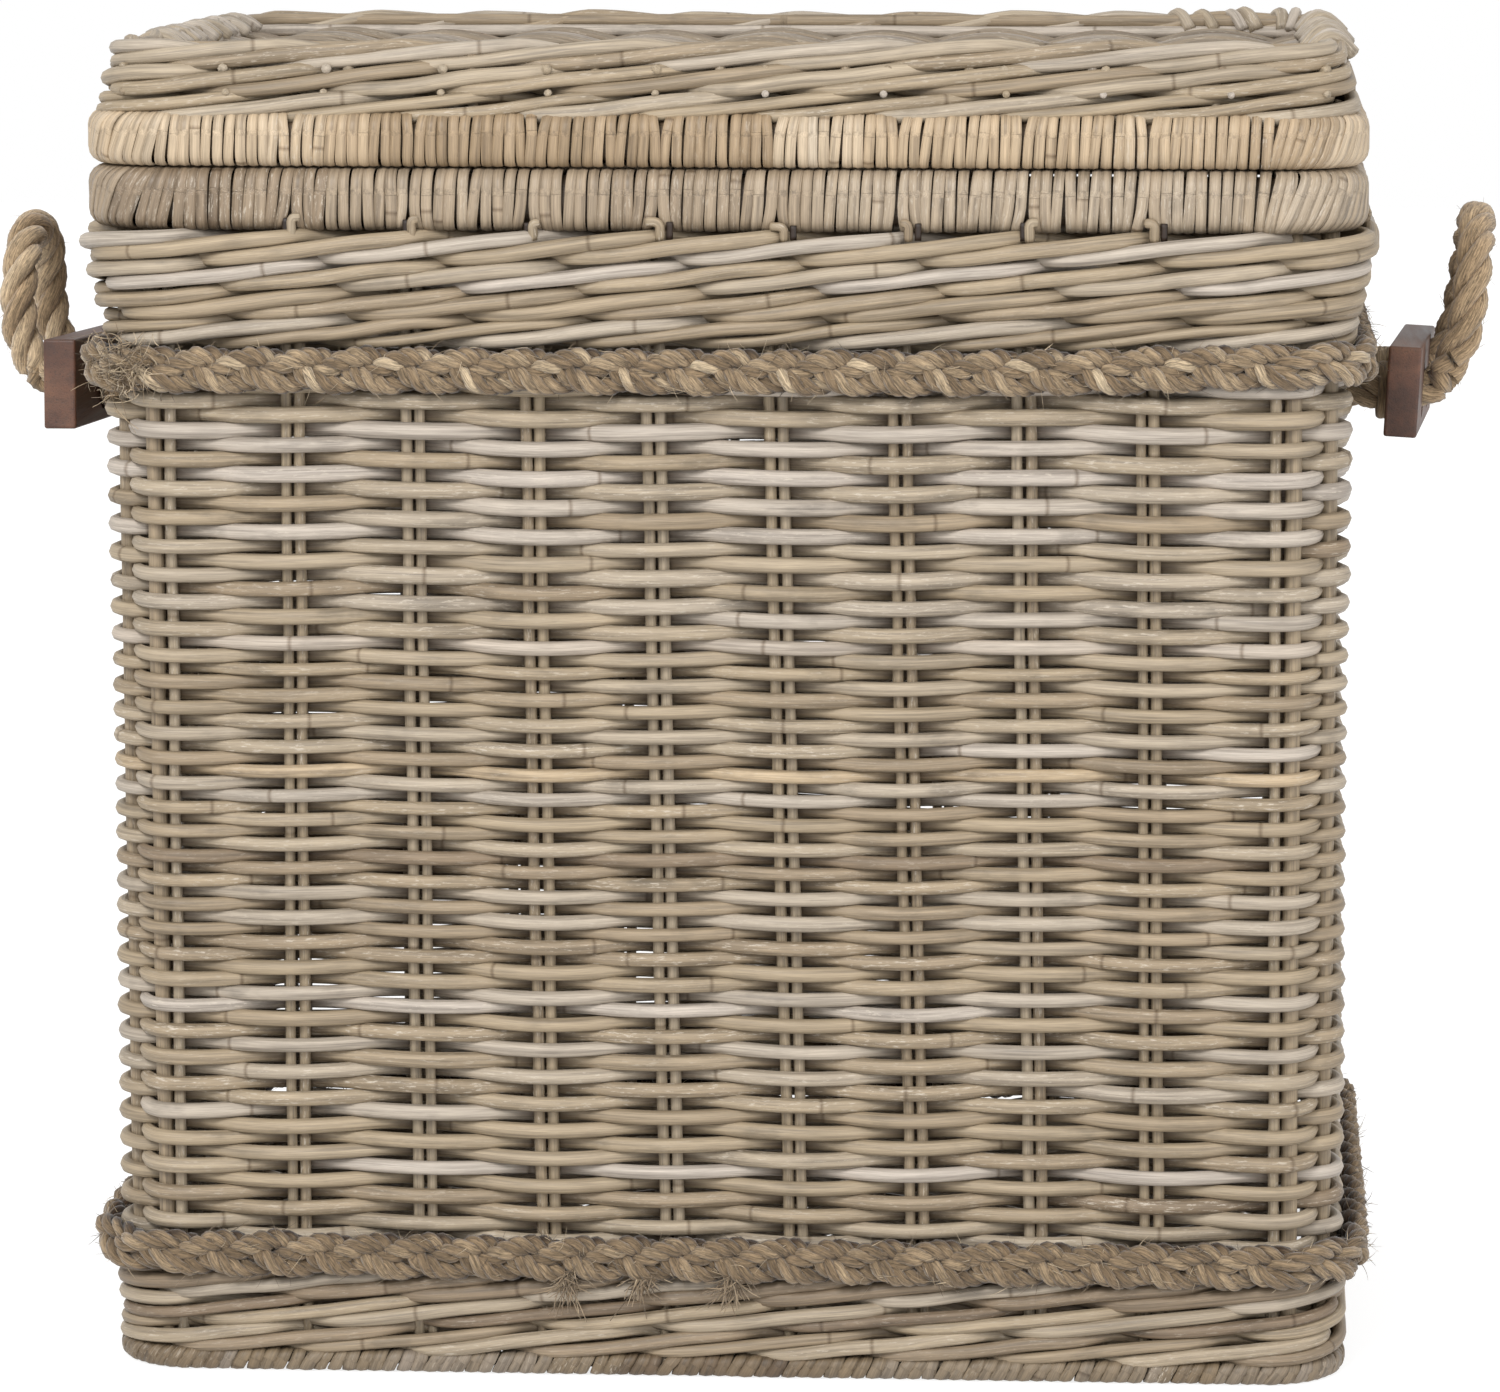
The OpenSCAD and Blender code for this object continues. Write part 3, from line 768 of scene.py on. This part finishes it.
rim = Strands()
wrapping(rim, pill(RIM_IN, RIM_OUT, *RIM, 9 * MM), 5.6 * MM, 0.8 * MM, 2.6 * MM, -1, True, 4 * MM)
rim.build("rim_wraps", wrap_cane, "cane", "basket", "rim_wrapping")
lid_rim = Strands()
wrapping(lid_rim, pill(RIM_IN, RIM_OUT, *LID_RIM, 8 * MM), 5.3 * MM, 0.6 * MM, 2.0 * MM, 1, True, 3 * MM)
lid_rim.build("lid_rim_wraps", pale_cane, "pale_cane", "lid", "lid_rim_wrapping")
foot = Strands()
wrapping(foot, pill(-16 * MM, 0, 0, FOOT_TOP - 2 * MM, 4.5 * MM), 6.7 * MM, 2.6 * MM, 1.6 * MM, 1)
foot.build("foot_wraps", brown_cane, "cane", "basket", "foot_wrapping")

tips = Strands()
for s in PAIR_S:
    if at_hinge(s):
        continue
    t = np.linspace(0, 1, 12)
    side = -1 if rng.random() < 0.8 else 0.6
    tall = rng.uniform(6, 10) * MM
    bend = np.clip(t * 1.9 - 0.7, 0, 1)
    along = s + side * (rng.uniform(3, 6.5) * MM * bend ** 1.3) - 1.5 * MM * side + rng.normal(0, 1.5 * MM)
    out = RIM_OUT + 1.2 * MM - 1.6 * MM * bend ** 2 - 3 * MM * (1 - t) ** 2
    z = RIM[0] - 3 * MM + tall * np.sin(np.clip(t * 1.5, 0, 1) * math.pi / 2)
    path, hint = ring_path(along, out, z)
    girth = rng.uniform(2.2, 2.7) * MM * (1 - 0.12 * t)
    tips.add(path, hint, girth, 8, tint=rng.uniform((0.1, 0, 0), (0.6, 1, 1)))
    # A small dark strand at its foot: painted shade for the hollow it stands in.
    path, hint = ring_path(along[:5] - side * 4.5 * MM, RIM_OUT - 1.2 * MM, z[:5] + np.linspace(0, 2 * MM, 5))
    tips.add(path, hint, (0.8 * MM, 1.6 * MM), 8, tint=(0, 0.5, 0), seat=1.0)
tips.build("stake_tip_canes", cane, "cane", "basket", "stake_tips")

# -------------------- rope


def yarn(depth, ridges, turns):
    """The outline of a ply: ridges of yarn that wind along it."""
    return lambda t, a: 1 + depth * np.cos(ridges * (a + TURN * turns * t))


def hairs(strands, path, normal, reach, count, length, radius):
    """Loose fibres that stand off a rope's surface."""
    travel = steps(path, False)
    for _ in range(count):
        i = rng.integers(2, len(path) - 2)
        angle = rng.uniform(0, TURN)
        up = normal[i] / np.linalg.norm(normal[i])
        side = np.cross(travel[i], up)
        away = math.cos(angle) * up + math.sin(angle) * side
        base = path[i] + away * reach * 0.9
        size = rng.uniform(*length) * MM
        flow = travel[i] * rng.choice([-1, 1]) + rng.normal(0, 0.45, 3)
        curl = rng.normal(0, 0.35, 3)
        t = np.linspace(0, 1, 5)[:, None]
        line = base + size * (unit(flow) * t * 0.8 + away * (t * 0.32 - 0.14 * t * t) + curl * t * t * 0.4)
        strands.add(line, away, radius * rng.uniform(0.6, 1.3) * (1 - 0.7 * t[:, 0]), 3, caps=False,
                    tint=(rng.choice([-0.4, 0.5, 1.5]), 0, 0))


def plait(strands, z, out, half_height, half_depth, ply_r, turns, fuzz, lift=0.0, shade=1.0):
    """A three-strand plait round the basket. Each strand is three plies twisted together."""
    s = np.linspace(0, ROUND, 1250, endpoint=False)
    twists = turns * 4
    rise = lift * np.exp(-((s - corner_s(45)[2]) / 0.09) ** 2)
    uneven = 0.35 * waves(s, ROUND, 7)
    for k in range(3):
        phase = TURN * (turns * s / ROUND + k / 3) + uneven
        z_mid = z + rise + half_height * np.sin(phase) + 0.9 * MM * waves(s, ROUND, 5)
        out_mid = out + half_depth * np.sin(2 * phase)
        mid, hint = ring_path(s, out_mid, z_mid)
        travel = steps(mid, True)
        side = np.cross(travel, hint)
        for ply in range(3):
            turn = TURN * (twists * s / ROUND + ply / 3) + k
            off = ply_r * 1.04 * (np.cos(turn)[:, None] * hint + np.sin(turn)[:, None] * side)
            size = ply_r * (1 + 0.12 * waves(s, 0.3, 6))
            # How far each face of the ply stands out: the faces that lie deep get painted shade.
            reach = half_depth * np.sin(2 * phase) + ply_r * 1.04 * np.cos(turn)
            reach = reach[:, None] + ply_r * np.cos(np.arange(8) / 8 * TURN)
            strands.add(mid + off, hint, size, 8, closed=True, shape=yarn(0.10, 4, twists * 2.2),
                        tint=rng.random(3) * (shade, 1, 1), seat=np.clip(0.80 - reach / (5.0 * MM), 0, 1))
        hairs(strands, mid, hint, ply_r * 2.05, fuzz, (4, 11), 0.2 * MM)


upper_plait = Strands()
plait(upper_plait, sum(UPPER_BAND) / 2, 4.0 * MM, 6.4 * MM, 2.4 * MM, 2.65 * MM, 25, 1300, 4 * MM)
# Its frayed end, at the left end of the front.
knot_s = corner_s(62)[1]
for _ in range(260):
    path, hint = ring_path(knot_s + rng.normal(0, 5 * MM), 7 * MM + rng.uniform(0, 4) * MM,
                           sum(UPPER_BAND) / 2 + rng.normal(0, 6.5 * MM))
    flow = unit(rng.normal(0, 1, 3) + hint[0] * 0.35)
    t = np.linspace(0, 1, 6)[:, None]
    length = rng.uniform(5, 12) * MM
    line = path[0] + flow * t * length + rng.normal(0, 0.5, 3) * t * t * length
    upper_plait.add(line, hint[0], 0.3 * MM * (1 - 0.6 * t[:, 0]), 4, caps=False,
                    tint=(rng.choice([0.1, 0.7, 1.4]), 0, 0))
upper_plait.build("upper_rope_plait", plait_rope, "plaited_rope", "basket", "upper_rope_band")
lower_plait = Strands()
# The lower plait's tones are darkened by 0.55: painted shade towards the floor.
plait(lower_plait, sum(LOWER_BAND) / 2, 4.5 * MM, 6.4 * MM, 2.4 * MM, 2.65 * MM, 25, 1300, 0.0, 0.55)
# Cut rope ends that hang just under the lower plait, left of the middle of the front.
for x, size in ((-74, 1.0), (-38, 0.8), (6, 1.1)):
    path, hint = ring_path(front_s(x * MM), 9 * MM, LOWER_BAND[0] - 2 * MM)
    for _ in range(90):
        flow = np.array([rng.normal(0, 0.55), rng.uniform(-0.6, 0.1), -rng.uniform(0.1, 1.0)])
        start = path[0] + rng.normal(0, 2.2 * MM, 3) + np.array([0, 2 * MM, 5 * MM])
        t = np.linspace(0, 1, 5)[:, None]
        length = rng.uniform(6, 13) * MM * size
        line = start + unit(flow) * t * length + rng.normal(0, 0.3, 3) * t * t * length
        lower_plait.add(line, (0, -1, 0.1), 0.35 * MM * (1 - 0.5 * t[:, 0]), 4, caps=False)
lower_plait.build("lower_rope_plait", plait_rope, "plaited_rope", "basket", "lower_rope_band")


def laid(strands, path, hint, strand_r, lay_length, fuzz):
    """Three-strand laid rope along an open path."""
    travel = steps(path, False)
    up = unit(hint - travel * (hint * travel).sum(1, keepdims=True))
    side = np.cross(travel, up)
    along = distances(path)
    for k in range(3):
        turn = TURN * (along / lay_length + k / 3)
        off = strand_r * 1.03 * (np.cos(turn)[:, None] * up + np.sin(turn)[:, None] * side)
        strands.add(path + off, hint, strand_r, 24, shape=yarn(0.055, 8, -along[-1] / lay_length * 1.6))
    hairs(strands, path, up, strand_r * 1.95, fuzz, (4, 10), 0.12 * MM)


ROPE_R = 10.5 * MM                          # of the CAD rope
KNOT_R = 17 * MM                            # of the CAD knot
HOLE_R = 10.6 * MM
LEG_Y = (high("right_handle_rope", 1) - low("right_handle_rope", 1)) / 2 - ROPE_R
BAR_OUT = high("right_handle_bar", 0)
BAR_IN = low("right_handle_bar", 0)
HOLE_Z = midway("right_rope_ends", 2)
ROPE_TOP = high("right_handle_rope", 2) - ROPE_R
TAIL = low("right_rope_ends", 0) + KNOT_R


def smooth_path(points, count):
    """A smooth curve through given points, with even steps."""
    p = np.array(points, float)
    ends = np.vstack([2 * p[0] - p[1], p, 2 * p[-1] - p[-2]])
    fine = []
    for i in range(1, len(ends) - 2):
        a, b, c, d = ends[i - 1], ends[i], ends[i + 1], ends[i + 2]
        t = np.linspace(0, 1, 24, endpoint=False)[:, None]
        fine.append(0.5 * (2 * b + (c - a) * t + (2 * a - 5 * b + 4 * c - d) * t ** 2
                           + (3 * b - a - 3 * c + d) * t ** 3))
    fine = np.vstack(fine + [ends[-2:-1]])
    gone = distances(fine)
    at = np.linspace(0, gone[-1], count)
    return np.column_stack([np.interp(at, gone, fine[:, k]) for k in range(3)])


def handle(name, side, ends_node, rope_node, reach, top, curve):
    """One rope handle: knot, wall, bar, loop and back, as one rope that bends at the bar.

    Its loop stands reach out from the middle of the basket and its centre line goes up to top.
    The legs follow curve: shares of the way out, of the way up and of their distance apart.
    """
    strands = Strands()
    rise = top - HOLE_Z
    half = [(TAIL - 2 * MM, LEG_Y, HOLE_Z), (BAR_IN, LEG_Y, HOLE_Z), (BAR_OUT - 4 * MM, LEG_Y, HOLE_Z)]
    half += [(BAR_OUT + far * (reach - BAR_OUT), LEG_Y * inward, HOLE_Z + up * rise)
             for far, up, inward in curve]
    points = half + [(reach, 0, top + 0.4 * MM)] + [(x, -y, z) for x, y, z in reversed(half)]
    path = smooth_path([(side * x, y, z) for x, y, z in points], 210)
    hint = np.broadcast_to([side * 0.3, 0.02, 0.95], path.shape) * 1.0
    hint = np.where(np.abs(path[:, 2:3] - HOLE_Z) > 12 * MM, np.array([side * 1.0, 0, 0.05]), hint)
    spread = 12
    kernel = np.ones(2 * spread + 1) / (2 * spread + 1)
    padded = np.pad(hint, ((spread, spread), (0, 0)), mode="edge")
    hint = np.column_stack([np.convolve(padded[:, k], kernel, "valid") for k in range(3)])
    laid(strands, path, hint, 4.6 * MM, 50 * MM, 420)
    for y in (-LEG_Y, LEG_Y):
        whip(strands, side, y)
        knot(strands, side, y)
    rope = strands.build(name, laid_rope, "laid_rope", None, ends_node, rope_node)
    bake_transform(rope)


def whip(strands, side, y):
    """Twine wound round a leg between the wall and the bar."""
    turns = 3
    t = np.linspace(0, turns, turns * 20)
    x = BAR_IN - 2 * MM - (BAR_IN - 4 * MM - (HALF_W + 13 * MM)) * t / turns
    angle = TURN * t
    radius = 12.6 * MM
    path = np.column_stack([side * x, y + radius * np.cos(angle), HOLE_Z + radius * np.sin(angle)])
    away = np.column_stack([np.zeros(len(t)), np.cos(angle), np.sin(angle)])
    strands.add(path, away, 2.1 * MM, 10, shape=yarn(0.10, 3, 22))


def knot(strands, side, y):
    """A stopper knot inside the basket: the three strands wound back round the rope."""
    centre = np.array([side * TAIL, y, HOLE_Z])
    t = np.linspace(0.04, 0.96, 70)
    for k in range(3):
        polar = math.pi * t
        angle = TURN * (1.2 * t + k / 3)
        away = np.column_stack([np.cos(polar), np.sin(polar) * np.cos(angle), np.sin(polar) * np.sin(angle)])
        away[:, 0] *= -side
        strands.add(centre + away * 11.5 * MM, away, 5.3 * MM, 14, shape=yarn(0.04, 7, 3))


handle("left_handle_rope_laid", -1, "left_rope_ends", "left_handle_rope",
       0.367, ROPE_TOP + 1.5 * MM,
       [(0.55, 0.06, 1), (0.93, 0.26, 1), (1.03, 0.52, 1), (1.0, 0.80, 0.84), (1.0, 0.96, 0.45)])
handle("right_handle_rope_laid", 1, "right_rope_ends", "right_handle_rope",
       0.364, ROPE_TOP + 9 * MM,
       [(0.12, 0.05, 1), (0.40, 0.17, 1), (0.66, 0.33, 1), (0.80, 0.55, 0.98), (0.92, 0.82, 0.80),
        (0.98, 0.965, 0.42)])

# -------------------- wooden bars


def bar(name, node, yaw, dip, roll, shift):
    """The plank with its softened edges and the two holes for the rope, hanging a little askew."""
    corner, far = Vector(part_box(node)[0]), Vector(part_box(node)[1])
    mesh = bpy.data.meshes.new(name)
    shape = bmesh.new()
    bmesh.ops.create_cube(shape, size=1)
    bmesh.ops.scale(shape, vec=far - corner, verts=shape.verts)
    bmesh.ops.translate(shape, vec=(far + corner) / 2, verts=shape.verts)
    bmesh.ops.bevel(shape, geom=shape.edges[:], offset=1.3 * MM, segments=3, profile=0.5, affect="EDGES")
    shape.to_mesh(mesh)
    shape.free()
    plank = placed(name, mesh)
    drill = bmesh.new()
    for y in (-LEG_Y, LEG_Y):
        made = bmesh.ops.create_cone(drill, cap_ends=True, segments=40, radius1=HOLE_R, radius2=HOLE_R,
                                     depth=0.06)
        bmesh.ops.rotate(drill, verts=made["verts"], cent=(0, 0, 0),
                         matrix=Vector((0, 0, 1)).rotation_difference(Vector((1, 0, 0))).to_matrix())
        bmesh.ops.translate(drill, vec=((far.x + corner.x) / 2, y, HOLE_Z), verts=made["verts"])
    drill_mesh = bpy.data.meshes.new("drill")
    drill.to_mesh(drill_mesh)
    drill.free()
    cutter = placed("drill", drill_mesh)
    cut = plank.modifiers.new("holes", "BOOLEAN")
    cut.operation, cut.object, cut.solver = "DIFFERENCE", cutter, "EXACT"
    bpy.context.view_layer.update()
    final = bpy.data.meshes.new_from_object(plank.evaluated_get(bpy.context.evaluated_depsgraph_get()))
    plank.modifiers.clear()
    plank.data = final
    bpy.data.objects.remove(cutter)
    middle = Matrix.Translation(((far.x + corner.x) / 2, corner.y, (far.z + corner.z) / 2))
    askew = Matrix.Translation((shift, 0, 0)) @ middle
    for angle, axis in ((yaw, "Z"), (dip, "X"), (roll, "Y")):
        askew = askew @ Matrix.Rotation(math.radians(angle), 4, axis)
    final.transform(askew @ middle.inverted())
    final.materials.clear()
    final.materials.append(dark_wood)
    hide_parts(node)
    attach(plank, "basket")


bar("left_bar_wood", "left_handle_bar", 0, -2.3, 0, 0)
bar("right_bar_wood", "right_handle_bar", -3.7, -2.3, 3, -8.5 * MM)

# -------------------- lid wall, border and top

LID_EDGE = LID_WALE[1] - 4 * MM
lid_wall = Strands()
wale(lid_wall, LID_WALE[0] - 4.5 * MM, LID_EDGE, 2,
     lambda z: 2.5 * MM - 6 * MM * np.clip((z - LID_WALE[0]) / (LID_WALE[1] - LID_WALE[0]), 0, 1))
lid_wall.build("lid_wale_canes", cane, "cane", "lid", "lid_wale")

border = Strands()
wale(border, LID_EDGE - 1 * MM, LID_BORDER_TOP - 2 * MM, 1, lambda z: -4.5 * MM, 3.6 * MM, -17 * MM)
# Cut stakes and the backs of the border's canes, between it and the wall of the lid.
for s0 in even_places(52 * MM, 0):
    for z0, out in ((LID_EDGE - 1 * MM, -3.2 * MM), (LID_EDGE - 12 * MM, -0.5 * MM)):
        path, hint = ring_path(s0 + rng.normal(0, 1 * MM), np.array([-9 * MM, out - 1 * MM, out]), z0)
        border.add(path, (0, 0, 1), 2.4 * MM if z0 > LID_EDGE - 5 * MM else 1.8 * MM, 8)
s = np.linspace(0, ROUND, 300, endpoint=False)
for middle, height in ((-20, 2.5), (-15, 3.5), (-20.5, -4)):
    out = middle * MM + 0.8 * MM * waves(s, ROUND, 5)
    z = LID_EDGE + height * MM + 0.8 * MM * waves(s, ROUND, 5)
    path, hint = ring_path(s, out, z)
    border.add(path, hint, 3.3 * MM, 9, closed=True)
# Canes bent over the border: a thick cluster round its right end, a thin chain along its left end.
for first, last, step, size, reach in ((right_s(-0.14), right_s(0.14) + 0.11, 12.5 * MM, 3.6 * MM, 8 * MM),
                                       (left_s(0.15), left_s(-0.10), 12 * MM, 3.4 * MM, 6 * MM)):
    for s0 in np.arange(first, last, step):
        t = np.linspace(0, 1, 12)
        arch = np.sin(math.pi * t)
        out = -23 * MM + (20 * t + rng.normal(0, 1)) * MM
        z = LID_BORDER_TOP - 9 * MM + reach * arch * rng.uniform(0.85, 1.15)
        path, hint = ring_path(s0 + rng.normal(0, 2 * MM) + 13 * MM * t, out, z)
        girth = size * rng.uniform(0.85, 1.1)
        tint = rng.random(3) * 0.35 + np.array([0.55, 0.3, 0.5])
        border.add(path, (0, 0, 1), girth, 9, tint=tint)
border.build("lid_border_canes", cane, "cane", "lid", "lid_border")

STICK_R = 3.2 * MM
STICK_X = row(9, FRONT_PITCH)


def mat(name, sticks_name, node, sticks_node, body, bundle, strand_r, material_tint):
    """A flat panel: sticks from front to back, with bundles of fine cane woven over and under them."""
    z = midway(node, 2)
    inner = -WALL
    reach_x, reach_y = HALF_W + inner, HALF_D + inner
    bend = CORNER + inner
    sticks = Strands()
    for x in STICK_X:
        y = np.linspace(-reach_y, reach_y, 30)
        path = np.column_stack([x + 0.8 * MM * waves(y, 0.8, 3), y, np.full(30, z)])
        sticks.add(path, (0, 0, 1), STICK_R, 8)
    sticks.build(sticks_name, cane, "cane", body, sticks_node)
    woven = Strands()
    # The bundles are pressed together: each is wider than its room where it passes over or under.
    bundles = round(2 * reach_y / (bundle * 2 * strand_r * 0.84))
    room = 2 * reach_y / bundles
    step = room / bundle
    for b in range(bundles):
        tone = rng.random(3)
        for k in range(bundle):
            place = (k - (bundle - 1) / 2) * step
            y0 = -reach_y + (b + 0.5) * room + place
            over = max(0.0, abs(y0) - (reach_y - bend))
            end = reach_x - bend + math.sqrt(max(bend ** 2 - over ** 2, 0))
            x = np.arange(-end, end + 2 * MM, 4.2 * MM)
            swing = np.cos(math.pi * (x / FRONT_PITCH + b))
            high_up = z + (STICK_R + strand_r) * swing + 0.25 * MM * waves(x, 0.5, 4)
            y = y0 + place * 0.2 * np.abs(swing) + 0.4 * MM * waves(x, 0.9, 4)
            path = np.column_stack([x, y, high_up])
            tint = np.clip(tone * material_tint + rng.random(3) * (1 - material_tint), 0, 1)
            # Where the bundle passes under a stick its upper face is darkened: painted shade.
            woven.add(path, (0, 0, 1), strand_r * rng.uniform(0.85, 1.08), 6, tint=tint, side=swing)
    woven.build(name, fine_cane, "cane", body, node)


mat("lid_top_canes", "lid_stick_canes", "lid_top_weave", "lid_sticks", "lid", 11, 1.7 * MM, 0.55)
mat("base_canes", "base_stick_canes", "base_panel", "base_sticks", "basket", 5, 2.4 * MM, 0.3)

stubs = Strands()
for s0 in [front_s(x) for x in STICK_X] + [back_s(x) for x in STICK_X] + PAIRS["left"] + PAIRS["right"]:
    z = np.linspace(LID_WALE[0] - 4 * MM, LID_WALE[1] + 2 * MM, 6)
    path, hint = ring_path(s0 + lean(s0, 0.3), STAKE_LINE + 1.0 * MM, z)
    stubs.add(path, hint, STAKE_R, 8)
stubs.build("lid_stake_canes", cane, "cane", "lid", "lid_stakes")

# -------------------- hinges


def hinge_windings(name, node, body, rod_z, places, count):
    """Turns of cane that tie the hinge pin to the rod of a rim."""
    strands = Strands()
    rod = np.array([HALF_D + (RIM_IN + RIM_OUT) / 2, rod_z])
    pin = np.array([midway("hinge_pins", 1), midway("hinge_pins", 2)])
    r_rod, r_pin = 9.6 * MM, 4.2 * MM
    way = pin - rod
    gap = np.linalg.norm(way)
    base = math.atan2(way[1], way[0])
    open_half = math.acos((r_rod - r_pin) / gap)
    for x0 in places:
        for k in range(count):
            x = x0 + (k - (count - 1) / 2) * 3.3 * MM
            round_rod = base + np.linspace(open_half, TURN - open_half, 20)
            round_pin = base + np.linspace(-open_half, open_half, 14)
            line = np.vstack([rod + r_rod * np.column_stack([np.cos(round_rod), np.sin(round_rod)]),
                              pin + r_pin * np.column_stack([np.cos(round_pin), np.sin(round_pin)])])
            away = np.concatenate([round_rod, round_pin])
            path = np.column_stack([np.full(len(line), x), line])
            hint = np.column_stack([np.zeros(len(line)), np.cos(away), np.sin(away)])
            strands.add(path, hint, (1.2 * MM, 1.6 * MM), 8, closed=True)
    strands.build(name, pale_cane, "cane", body, node)


hinge_windings("hinge_loop_canes", "hinge_loops", "basket", midway("rim_rod", 2),
               [s * HINGE_X + d for s in (-1, 1) for d in (-20 * MM, 20 * MM)], 4)
hinge_windings("lid_hinge_loop_canes", "lid_hinge_loops", "lid", midway("lid_rim_rod", 2),
               [-HINGE_X, HINGE_X], 7)

# -------------------- CAD pieces that stay

for node in ("foot_rod", "rim_rod", "lid_rim_rod", "hinge_pins"):
    shown = frame["nodes"][node]
    shown.data.materials.clear()
    shown.data.materials.append(rod_cane)

# -------------------- stage, light and camera


def stage():
    n = Nodes("stage")
    n.surface({"Base Color": (0.25, 0.25, 0.25, 1), "Roughness": 0.9,
               "Emission Color": (1, 1, 1, 1), "Emission Strength": 0.8})
    mesh = bpy.data.meshes.new("floor")
    mesh.from_pydata([(-8, -8, 0), (8, -8, 0), (8, 8, 0), (-8, 8, 0)], [], [(0, 1, 2, 3)])
    mesh.materials.append(n.material)
    placed("floor", mesh)


def area_light(name, place, aim, size, power):
    light = bpy.data.lights.new(name, "AREA")
    light.shape, light.size, light.energy = "DISK", size, power
    lamp = placed(name, light)
    lamp.location = place
    lamp.rotation_euler = (Vector(aim) - Vector(place)).to_track_quat("-Z", "Y").to_euler()


def world(strength):
    scene_world = bpy.data.worlds.new("studio")
    scene_world.use_nodes = True
    background = scene_world.node_tree.nodes["Background"]
    background.inputs[0].default_value = (1, 1, 1, 1)
    background.inputs[1].default_value = strength
    bpy.context.scene.world = scene_world


def camera():
    """A long lens in front and above, its view shifted so that the uprights stay nearly parallel."""
    data = bpy.data.cameras.new("camera")
    data.lens, data.sensor_width = 138.3, 36
    data.shift_x, data.shift_y = -0.09, -0.08
    eye = placed("camera", data)
    eye.location = (0.238, -2.9, 0.754)
    eye.rotation_euler = (math.radians(90 - 7.62), 0, math.radians(3.38))
    bpy.context.scene.camera = eye


stage()
world(1.0)
area_light("key", (-0.9, -3.0, 2.4), (0, 0, 0.35), 1.3, 92)
area_light("fill", (2.4, -2.2, 1.4), (0, 0, 0.3), 1.6, 28)
camera()
bpy.context.scene.view_settings.view_transform = "Standard"
